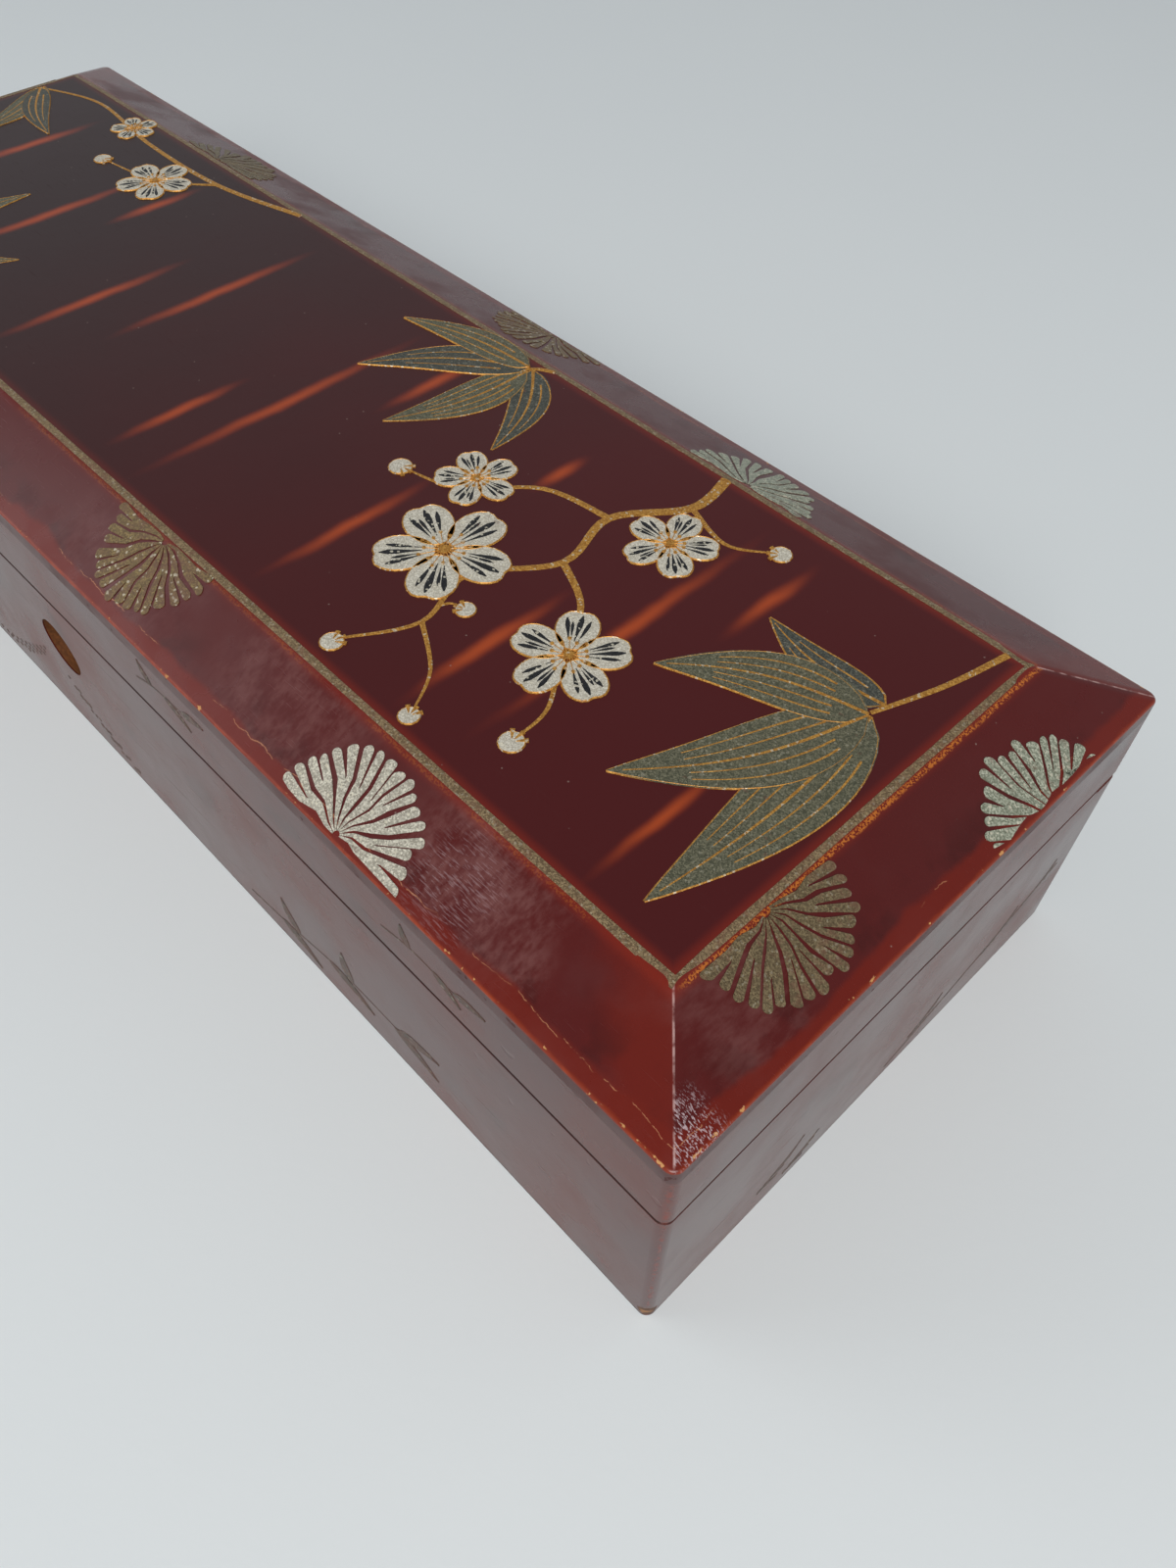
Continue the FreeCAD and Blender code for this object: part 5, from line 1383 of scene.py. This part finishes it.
@dataclass
class WallPainting:
    """Faded drawing on the four walls and the lid's front: dotted sprays, thin stems and strokes."""

    def build(self) -> None:
        """Draws the front wall, the lid's front, the right end, the back and the left end."""
        front = Brushwork("front", "box", Side.FRONT.wall)
        for row, (low, count) in enumerate(((0.0, 11), (3.4, 9), (6.4, 5))):
            for number in range(count):
                share = number / 10
                at = (-9.0 + 27 * share + low * 0.4,
                      13.5 - 11.0 * share - 3.5 * math.sin(2.2 * share) - low * 0.55)
                if at[1] > 1.5:
                    front.relief(Gold.FADED).patch(circle(at, 0.42 + 0.12 * ((number + row) % 3), 8), 0.05)
                front.relief(Gold.FADED).patch(circle((-at[0] - 26.0, max(at[1], 0.0) + 2.0), 0.45, 8), 0.05)
        for points in (((48.0, 4.0), (60.0, 6.4), (74.0, 10.2), (90.0, 11.0)),
                       ((-58.0, 6.0), (-72.0, 10.6), (-88.0, 13.6), (-104.0, 15.0))):
            front.twig(Twig(points, 0.5, 0.25), Gold.FADED, 0.06)
        for base, tip in (((58.0, 6.2), (68.0, 2.2)), ((63.0, 7.4), (60.0, 15.0)), ((72.0, 9.8), (83.0, 6.4)),
                          ((78.0, 10.6), (77.0, 18.5)), ((90.0, 11.0), (100.0, 14.6)), ((89.0, 10.9),
                                                                                        (99.0, 7.0)),
                          ((-66.0, 8.8), (-60.0, 15.6)), ((-77.0, 12.0), (-85.0, 6.0)), ((-89.0, 13.8),
                                                                                         (-88.0, 21.5)),
                          ((-104.0, 15.0), (-114.0, 12.0)), ((-103.0, 14.9), (-111.0, 20.0))):
            front.leaf(Leaf(base, tip, 2.6, 0.5, Gold.FADED), 0, Gold.FADED)
        front.finish()
        lid = Brushwork("lid_front", "lid", Side.FRONT.wall)
        for points in (((32.0, 45.5), (38.0, 47.6), (46.0, 48.4)),
                       ((92.0, 44.6), (99.0, 46.4), (107.0, 46.0))):
            lid.twig(Twig(points, 0.45, 0.25), Gold.FADED, 0.06)
        for base, tip in (((37.0, 47.3), (35.0, 51.4)), ((41.0, 48.0), (47.0, 45.0)),
                          ((46.0, 48.4), (52.0, 49.8)),
                          ((98.0, 46.2), (97.0, 50.6)), ((107.0, 46.0), (113.0, 47.2)), ((103.0, 46.4),
                                                                                         (108.0, 43.2))):
            lid.leaf(Leaf(base, tip, 1.6, 0.3, Gold.FADED), 0, Gold.FADED)
        lid.finish()
        end = Brushwork("right_end", "box", Side.RIGHT.wall)
        for root, lean, count in (((-27.5, 7.0), 0.5, 6), ((-21.0, 3.0), 0.4, 4), ((9.0, 6.0), 0.9, 5),
                                  ((26.0, 11.0), 0.8, 6),
                                  ((36.0, 16.0), 0.9, 5)):
            for number in range(count):
                angle = lean + 0.22 * (number - count / 2)
                start = (root[0] + 1.3 * number, root[1] + 0.5 * number)
                tip = (start[0] + 4.5 * math.cos(angle), start[1] + 4.5 * math.sin(angle))
                end.twig(Twig((start, tip), 1.1, 0.4), Gold.FADED, 0.06)
        end.twig(Twig(((4.0, 2.6), (16.0, 7.0), (28.0, 12.0), (44.0, 20.0)), 0.5, 0.25), Gold.FADED, 0.06)
        end.finish()
        back = Brushwork("back_wall", "box", Side.BACK.wall, True)
        left = Brushwork("left_wall", "box", Side.LEFT.wall, True)
        for work, shift in ((back, 60.0), (back, -70.0), (left, -30.0)):
            for rise, bow in ((4.0, 0.0), (9.0, 3.0), (14.0, -2.0)):
                work.twig(Twig(((shift, rise), (shift + 14.0, rise + 5.0 + bow), (shift + 30.0, rise + 3.0),
                                (shift + 46.0, rise + 8.0 - bow)), 0.6, 0.22), Gold.FADED, 0.06)
            for number in range(9):
                base = (shift + 4.0 + 4.6 * number, 8.0 + 3.0 * math.sin(number))
                work.twig(Twig((base, (base[0] + 3.4, base[1] + 4.6)), 0.9, 0.3), Gold.FADED, 0.06)
        back.finish()
        left.finish()


# Inside

def sprinkled_lacquer() -> bpy.types.Material:
    """Makes dark lacquer sprinkled with gold flakes, rubbed brown in places."""
    s = Shader("sprinkled_lacquer")
    clouds, flakes = s.noise(18, 4, 1), s.flakes()
    s.base = s.mix(s.step(clouds, 0.4, 0.8) * 0.6, tone(30, 20, 16), tone(60, 34, 22))
    s.coat(flakes, tone(196, 150, 74))
    rough = 0.17 + clouds * 0.12 + flakes * 0.12
    return s.finish(rough, s.noise(6, 2, 3) + flakes * 0.1, 0.04, Metallic=flakes * 0.7, IOR=1.52)


def slate() -> bpy.types.Material:
    """Makes blue-grey slate, fine bedded, with dried ink in the pool and a rubbed grinding face."""
    s = Shader("slate")
    bedding = s.noise(3.0, 5, 1, (5.0, 5.0, 0.4), turn=(0.12, 0.05, 0.0))
    s.base = s.mix(s.step(bedding, 0.35, 0.7), tone(58, 61, 66), tone(84, 88, 92))
    s.coat(s.step(s.noise(0.5, 3, 2), 0.62, 0.72) * 0.6, tone(40, 42, 46))
    ragged = s.noise(4.0, 4, 3) - 0.5
    sunk = s.step(s.z + ragged * 0.8, 19.9, 19.5)
    ink = s.step(s.x + ragged * 12, -84.0, -96.0) * sunk
    smear = s.step(s.noise(7, 4, 4, (3.0, 1.0, 1.0)), 0.4, 0.62) * sunk
    s.coat(smear * 0.6, tone(34, 34, 37))
    s.coat(ink, tone(14, 14, 16))
    rough = 0.62 - smear * 0.12 - ink * 0.3
    return s.finish(rough, bedding + s.noise(0.4, 2, 5) * 0.4, 0.06, IOR=1.5)


def ink_cake() -> bpy.types.Material:
    """Makes pressed black ink, with gilt lines round the stick's face and one end worn by grinding."""
    s = Shader("ink_cake")
    clouds = s.noise(6, 4, 1)
    s.base = s.mix(clouds, tone(20, 20, 23), tone(36, 35, 38))
    middle_x, half_x, half_y, level = 84.5, 37.2, 8.7, 15.7
    frame_x, frame_y = half_x - abs(s.x - middle_x), half_y - abs(s.y + 7.0)
    line = s.step(abs(frame_x.least(frame_y)), 0.34, 0.22) * s.maths("GREATER_THAN", s.z, level)
    line = line * s.step(s.noise(2.0, 4, 2), 0.32, 0.42)
    s.coat(line, tone(188, 144, 70))
    worn = s.step(s.x + clouds * 6, 121.0, 125.0)
    s.coat(worn * 0.7, tone(70, 68, 70))
    rough = 0.42 + clouds * 0.14 + worn * 0.2
    return s.finish(rough, clouds + s.noise(0.5, 3, 3) * 0.3 - worn * 0.4, 0.05, Metallic=line * 0.7)


def bamboo(name: str, joints: Sequence[float], tail: float) -> bpy.types.Material:
    """Makes polished bamboo: pale yellow with fine fibres along it, browner at its joints.

    Args:
        name: Name of the material.
        joints: Places of the joints along x.
        tail: Where the shaft starts, with its cut end.

    Returns:
        The material.
    """
    s = Shader(name)
    fibre = s.noise(0.35, 4, 1, (40.0, 1.0, 1.0))
    s.base = s.mix(s.step(fibre, 0.3, 0.7), tone(178, 132, 66), tone(206, 168, 100))
    s.coat(s.step(s.noise(9, 4, 2, (3.0, 1.0, 1.0)), 0.5, 0.75) * 0.6, tone(140, 88, 42))
    near = s.maths("MINIMUM", *(abs(s.x - joint) for joint in joints))
    s.coat(s.step(near, 2.2, 0.4) * 0.7, tone(104, 62, 30))
    s.coat(s.maths("LESS_THAN", s.x, tail + 0.05), tone(150, 104, 56))
    return s.finish(0.3 + fibre * 0.15, fibre, 0.03, IOR=1.5)


def lathe_x(name: str, profile: Sequence[Point], middle: Point, count: int = 28) -> bpy.types.Mesh:
    """Turns a profile round a line along x.

    Args:
        name: Name of the mesh.
        profile: Places along x and radii, in the order of the skin.
        middle: The line's y and z.
        count: How many faces it has round.

    Returns:
        The closed mesh.
    """
    rings = [[(x, *point) for point in circle(middle, radius, count)] for x, radius in profile]
    return mesh_of(name, *closed_rings(rings), sharp=35)


@dataclass
class Fittings:
    """Hinges, lock and strike, with softened edges, and their nails, which Geometry Nodes set in place."""

    plates: tuple[str, ...] = ("left_hinge_box_leaf", "right_hinge_box_leaf", "left_hinge_lid_leaf",
                               "right_hinge_lid_leaf", "lock_plate", "strike_plate")
    nail_rows: tuple[tuple[str, tuple[Place, ...], Place], ...] = (
        ("hinge_box_nails", tuple((x, 45.9, 38.93) for x in (-98.0, -78.0, 78.0, 98.0)), (0.0, 0.0, 0.0)),
        ("hinge_lid_nails", tuple((x, 45.9, 38.97) for x in (-98.0, -78.0, 78.0, 98.0)), (math.pi, 0.0, 0.0)),
        ("lock_nails", ((-17.0, -43.22, 27.2), (17.0, -43.22, 27.2)), (-math.pi / 2, 0.0, 0.0)),
        ("strike_nails", ((-13.0, -43.22, 45.0), (13.0, -43.22, 45.0)), (-math.pi / 2, 0.0, 0.0)),
    )

    def nail(self) -> bpy.types.Object:
        """Makes one hand-cut nail with its head up, for the tree to copy."""
        rings: list[list[Place]] = []
        for level, half, corner in ((-4.0, 0.05, 0.02), (-3.2, 0.3, 0.05), (-0.8, 0.45, 0.06),
                                    (-0.76, 0.55, 0.08),
                                    (-0.06, 0.97, 0.16), (0.0, 0.86, 0.2), (0.03, 0.4, 0.2)):
            rings.append([(side_x * (half - cut * corner), side_y * (half - (1 - cut) * corner), level)
                          for side_x, side_y, cut in ((1, -1, 0), (1, 1, 0), (1, 1, 1), (-1, 1, 1),
                                                      (-1, 1, 0), (-1, -1, 0), (-1, -1, 1), (1, -1, 1))])
        return placed("nail_shape", mesh_of("nail_shape", *closed_rings(rings), sharp=30))

    def tree(self, nail: bpy.types.Object) -> Grower:
        """Builds the tree that sets a nail at each point of a mesh."""
        g = Grower("nail_row", {
            "Turn": ("NodeSocketVector", (0.0, 0.0, 0.0)), "Waver": ("NodeSocketFloat", 0.15),
            "Seed": ("NodeSocketInt", 4), "Material": ("NodeSocketMaterial", None)})
        spin = g.chance(-1.0, 1.0, g.given("Seed")) * g.given("Waver")
        row = g.get("GeometryNodeInstanceOnPoints", {
            "Points": g.given("Geometry"), "Instance": g.copies(nail), "Rotation": g.given("Turn")})
        g.end(g.get("GeometryNodeRotateInstances", {
            0: row, "Rotation": g.get("ShaderNodeCombineXYZ", {2: spin}), "Local Space": True}))
        return g

    def build(self) -> None:
        """Makes the plates, nails, pins, case, spring and bolt."""
        brass = Metal("old_brass", tone(184, 142, 76), tone(116, 84, 46), tone(62, 48, 32)).make()
        iron = Metal("dark_iron", tone(92, 88, 84), tone(58, 46, 38), tone(36, 30, 26), rough=0.38,
                     age=0.7).make()
        steel = Metal("spring_steel", tone(132, 132, 134), tone(92, 88, 84), tone(60, 50, 42),
                      rough=0.28).make()
        for node in self.plates:
            softened(node, 0.14, brass)
        softened("lock_case", 0.16, iron)
        softened("lock_bolt", 0.16, steel)
        dress(brass, "left_hinge_pin", "right_hinge_pin")
        dress(steel, "lock_spring")
        shape = self.nail()
        tree = self.tree(shape)
        for number, (node, places, turn) in enumerate(self.nail_rows):
            seed = bpy.data.meshes.new("nail_places")
            seed.from_pydata([metres(place) for place in places], [], [])
            mesh = tree.grow(seed, {"Turn": turn, "Waver": 0.12, "Seed": 4 + number, "Material": iron})
            keep(mesh, f"{node}_cut", body_of(node), iron, [node])
        bpy.data.objects.remove(shape)


@dataclass
class TrayParts:
    """The lift-out tray with its dividers and brush rests, and the floor of the box."""

    rails: tuple[str, ...] = ("tray_bottom", "tray_front_rail", "tray_back_rail", "tray_left_rail",
                              "tray_right_rail",
                              "brush_divider", "inkstone_divider", "dropper_divider")

    def build(self) -> None:
        """Makes the tray's pieces with eased edges."""
        lacquer = sprinkled_lacquer()
        for node in self.rails:
            softened(node, 0.45, lacquer)
        rest = Mottled("rest_wood", tone(96, 48, 28), tone(70, 32, 20), tone(40, 18, 12), 10, 0.6,
                       (1, 1, 12), 0.28).make()
        for node in ("left_brush_rest", "right_brush_rest"):
            softened(node, 0.4, rest)
        board = Mottled("bottom_lacquer", tone(36, 22, 18), tone(52, 30, 22), tone(22, 14, 12), 30, 1.2,
                        (14, 1, 1), 0.3)
        dress(board.make(), "bottom_board")


@dataclass
class Desk:
    """What lies in the tray: inkstone, ink stick and water dropper."""

    stick_face: float = 15.4
    dropper_top: float = 24.0

    def build(self) -> None:
        """Makes the three pieces and the gilt drawing on the ink stick."""
        softened("inkstone", 0.55, slate(), 3)
        softened("ink_stick", 0.3, ink_cake())
        stick = Brushwork("ink_stick", "tray", lambda x, y, lift: (x, y, self.stick_face + lift))
        stick.blossom(Blossom((88.0, -7.0), 5.0, 0.3))
        stick.blossom(Blossom((103.0, -8.5), 3.4, 0.9))
        stick.twig(Twig(((56.0, -11.0), (68.0, -6.0), (80.0, -9.0), (96.0, -4.5), (110.0, -7.5)), 0.9, 0.3))
        for base, tip in (((66.0, -6.5), (59.0, -1.5)), ((72.0, -7.0), (68.0, -13.0)),
                          ((76.0, -8.0), (72.0, -1.5))):
            stick.leaf(Leaf(base, tip, 2.6, 0.5, Gold.OLIVE), 0)
        stick.finish()
        bronze = Metal("patinated_bronze", tone(126, 92, 58), tone(78, 66, 48), tone(70, 96, 82),
                       rough=0.34, age=0.8)
        softened("water_dropper_shell", 0.35, bronze.make(), 3)
        dress(bronze.make(), "water_dropper_base")
        dropper = Brushwork("dropper_top", "tray", lambda x, y, lift: (x, y, self.dropper_top + lift))
        dropper.twig(Twig(((-12.0, -20.0), (-4.0, -17.0), (6.0, -19.0), (20.0, -15.5)), 0.8, 0.3), Gold.OLIVE)
        for at, size, turn in (((0.0, -17.6), 3.6, 0.4), ((10.5, -18.0), 2.8, 1.0)):
            dropper.blossom(Blossom(at, size, turn))
        for base, tip in (((-7.0, -18.2), (-13.0, -14.0)), ((16.0, -16.8), (19.0, -21.5))):
            dropper.leaf(Leaf(base, tip, 2.2, 0.4, Gold.OLIVE), 0)
        dropper.finish()


@dataclass
class Brush:
    """One writing brush: bamboo shaft, horn collar and a tuft whose hairs Geometry Nodes set round a core."""

    name: str
    y: float
    z: float = 15.0
    start: float = -111.5
    joints: tuple[float, ...] = (-52.0, 8.0)
    hairs: int = 260
    seed: int = 1
    tuft_start: float = 73.5
    tuft_length: float = 38.0
    tuft_radius: float = 3.05

    def shaft(self) -> bpy.types.Mesh:
        """Makes the bamboo shaft, hollow at its tail and ridged at its joints."""
        profile: list[Point] = [(self.start + 4.0, 1.3), (self.start, 1.5), (self.start, 3.1),
                                (self.start + 0.4, 3.4)]
        for joint in self.joints:
            profile += [(joint - 3.0, 3.42), (joint - 0.8, 3.5), (joint - 0.25, 3.5), (joint, 3.2),
                        (joint + 0.35, 3.48),
                        (joint + 1.6, 3.42)]
        profile += [(59.5, 3.42), (60.5, 3.3)]
        return lathe_x(f"{self.name}_shaft", profile, (self.y, self.z))

    def collar(self) -> bpy.types.Mesh:
        """Makes the turned horn collar."""
        profile = [(60.4, 3.2), (60.5, 3.75), (60.9, 3.95), (61.6, 3.7), (62.2, 3.95), (66.0, 4.08),
                   (71.0, 3.98),
                   (72.2, 3.75), (72.6, 3.95), (73.2, 3.9), (73.5, 3.5), (73.2, 3.0)]
        return lathe_x(f"{self.name}_collar", profile, (self.y, self.z), 32)

    def swell(self, share: float) -> float:
        """Gives the tuft's radius at a share of its length."""
        belly = self.tuft_radius + 0.12 * math.sin(math.pi * min(share / 0.45, 1.0))
        return belly * (1 - max(share - 0.3, 0.0) / 0.7) ** 0.72

    def tree(self) -> Grower:
        """Builds the tree that sets hairs over a round field."""
        g = Grower("tuft", {
            "Hairs": ("NodeSocketInt", 100), "Radius": ("NodeSocketFloat",
                                                        0.003), "Seed": ("NodeSocketInt", 1),
            "Material": ("NodeSocketMaterial", None)})
        seed = g.given("Seed")
        turn = g.chance(0.0, 2 * math.pi, seed)
        reach = g.maths("SQRT", g.chance(0.35, 1.0, seed + 3.0)) * g.given("Radius")
        spot = {1: reach * g.maths("COSINE", turn), 2: reach * g.maths("SINE", turn)}
        points = g.get("GeometryNodePoints",
                       {0: g.given("Hairs"), "Position": g.get("ShaderNodeCombineXYZ", spot)})
        scale = g.get("ShaderNodeCombineXYZ", {0: g.chance(0.9, 1.0, seed + 5.0), 1: 1.0, 2: 1.0})
        g.end(g.get("GeometryNodeInstanceOnPoints", {
            "Points": points, "Instance": g.given("Geometry"), "Scale": scale}))
        return g

    def tuft(self, hair: bpy.types.Material) -> bpy.types.Mesh:
        """Makes the core and the hairs, drawn together to a point."""
        strand = lathe_x("strand",
                         [(0.0, 0.12), (12.0, 0.13), (22.0, 0.11), (31.0, 0.08),
                          (self.tuft_length, 0.02)], (0, 0), 3)
        field_of_hairs = self.tree().grow(strand,
                                          {"Hairs": self.hairs, "Radius": 0.001 * self.tuft_radius,
                                           "Seed": self.seed,
                                                   "Material": hair})
        core = lathe_x("core",
                       [(-0.6, 2.6),
                        *((self.tuft_length * t, 0.9 * self.swell(t)) for t in along(0, 0.97, 12))], (0,
                                                                                                      0), 20)
        shape = bmesh.new()
        shape.from_mesh(field_of_hairs)
        for point in shape.verts:
            share = min(max(1000 * point.co.x / self.tuft_length, 0.0), 1.0)
            pinch = self.swell(share) / self.tuft_radius
            point.co.y *= pinch
            point.co.z *= pinch
        shape.from_mesh(core)
        for point in shape.verts:
            point.co += metres((self.tuft_start, self.y, self.z))
        for face in shape.faces:
            face.material_index = 0
            face.smooth = True
        shape.to_mesh(field_of_hairs)
        shape.free()
        return field_of_hairs

    def build(self) -> None:
        """Makes the whole brush."""
        shaft = bamboo(f"{self.name}_bamboo", self.joints, self.start)
        horn = Mottled(f"{self.name}_horn", tone(58, 40, 26), tone(28, 20, 16), tone(120, 92, 60), 5, 0.7,
                       (9, 1, 1), 0.22).make()
        hair = Mottled(f"{self.name}_hair", tone(196, 176, 142), tone(148, 118, 82), tone(60, 44, 34), 7, 0.3,
                       (20, 1, 1), 0.6).make()
        keep(self.shaft(), f"{self.name}_bamboo_shaft", "tray", shaft, [f"{self.name}_shaft"])
        keep(self.collar(), f"{self.name}_horn_collar", "tray", horn, [f"{self.name}_collar"])
        keep(self.tuft(hair), f"{self.name}_tuft", "tray", hair, [f"{self.name}_hair"])


@dataclass
class Studio:
    """Floor, soft light and the camera of the photograph."""

    camera_at: Place = (168.72, -89.02, 179.70)
    camera_turn: Place = (38.1515, -0.8582, 46.0605)
    lens: float = 27.467
    floor_radius: float = 4000.0
    aim: Place = (20.0, 0.0, 50.0)

    def floor(self) -> None:
        """Makes the pale floor."""
        s = Shader("floor_paper")
        clouds = s.noise(180, 3, 1)
        s.base = s.mix(clouds, tone(230, 234, 235), tone(234, 238, 238))
        ring = [(*point, 0.0) for point in circle((0.0, 0.0), self.floor_radius, 64)]
        mesh = mesh_of("floor", ring, [range(len(ring))], smooth=False)
        mesh.materials.append(s.finish(0.6, s.noise(1.5, 3, 2), IOR=1.4))
        placed("floor", mesh)

    def lamp(self, name: str, at: Place, size: float, power: float, colour: Place) -> None:
        """Hangs a soft square lamp that looks at the box."""
        data = bpy.data.lights.new(name, "AREA")
        data.size = size
        data.energy = power
        data.color = colour
        lamp = placed(name, data)
        lamp.location = at
        lamp.rotation_euler = (metres(self.aim) - lamp.location).to_track_quat("-Z", "Y").to_euler()

    def world(self) -> None:
        """Makes the even light of a pale room."""
        world = bpy.data.worlds.new("room")
        world.use_nodes = True
        g = Graph(world.node_tree)
        g.tree.nodes.clear()
        towards = g.get("ShaderNodeSeparateXYZ", {0: g.get("ShaderNodeTexCoord")}, 2)
        rise = g.get("ShaderNodeMapRange", {"Value": towards, "From Min": 0.0, "From Max": 0.75})
        tint = g.mix(rise, tone(222, 228, 232), tone(146, 152, 158))
        sky = g.mix(g.step(towards, -0.02, 0.3), tone(138, 145, 148), tone(206, 212, 215))
        room = g.get("ShaderNodeBackground", {"Color": tint, "Strength": 0.72})
        seen = g.get("ShaderNodeBackground", {"Color": sky, "Strength": 1.0})
        by_camera = g.get("ShaderNodeLightPath", output="Is Camera Ray")
        g.add("ShaderNodeOutputWorld",
              {"Surface": g.get("ShaderNodeMixShader", {0: by_camera, 1: room, 2: seen})})
        bpy.context.scene.world = world

    def camera(self) -> None:
        """Sets the camera where the photograph was taken."""
        data = bpy.data.cameras.new("camera")
        data.lens = self.lens
        data.sensor_width = 36.0
        data.clip_start = 0.005
        camera = placed("camera", data)
        camera.location = metres(self.camera_at)
        camera.rotation_euler = [math.radians(angle) for angle in self.camera_turn]
        bpy.context.scene.camera = camera

    def build(self) -> None:
        """Sets up the whole studio."""
        self.floor()
        self.world()
        self.lamp("window", (1.05, -1.0, 1.25), 0.9, 26.5, (1.0, 0.985, 0.965))
        self.lamp("room_light", (-1.2, -0.9, 0.9), 1.0, 4.0, (0.95, 0.98, 1.0))
        self.camera()
        bpy.context.scene.view_settings.view_transform = "Standard"


def main() -> None:
    """Builds and dresses every sub-assembly."""
    logging.basicConfig(level=logging.INFO, format="%(name)s: %(message)s")
    keep(LID.build(), "lid_top_lacquered", "lid", TopLacquer().make(), ["lid_top"])
    body_lacquer = RedLacquer("body_lacquer", 0.0, SEAM_LOW).make()
    lid_lacquer = RedLacquer("lid_wall_lacquer", SEAM_HIGH, ABOVE_ALL).make()
    dress(body_lacquer, "front_wall", "back_wall", "left_wall", "right_wall")
    dress(lid_lacquer, "lid_front_wall", "lid_back_wall", "lid_left_wall", "lid_right_wall")
    for assembly in (Border(), Rosettes(), PanelPainting(), WallPainting(), Fittings(), TrayParts(), Desk(),
                     Brush("front_brush", 26.0, seed=2), Brush("back_brush", 35.4, joints=(-40.0, 18.0),
                                                               seed=5),
                     Studio()):
        assembly.build()
        LOG.info("%s built", type(assembly).__name__)


if __name__ == "__main__":
    main()
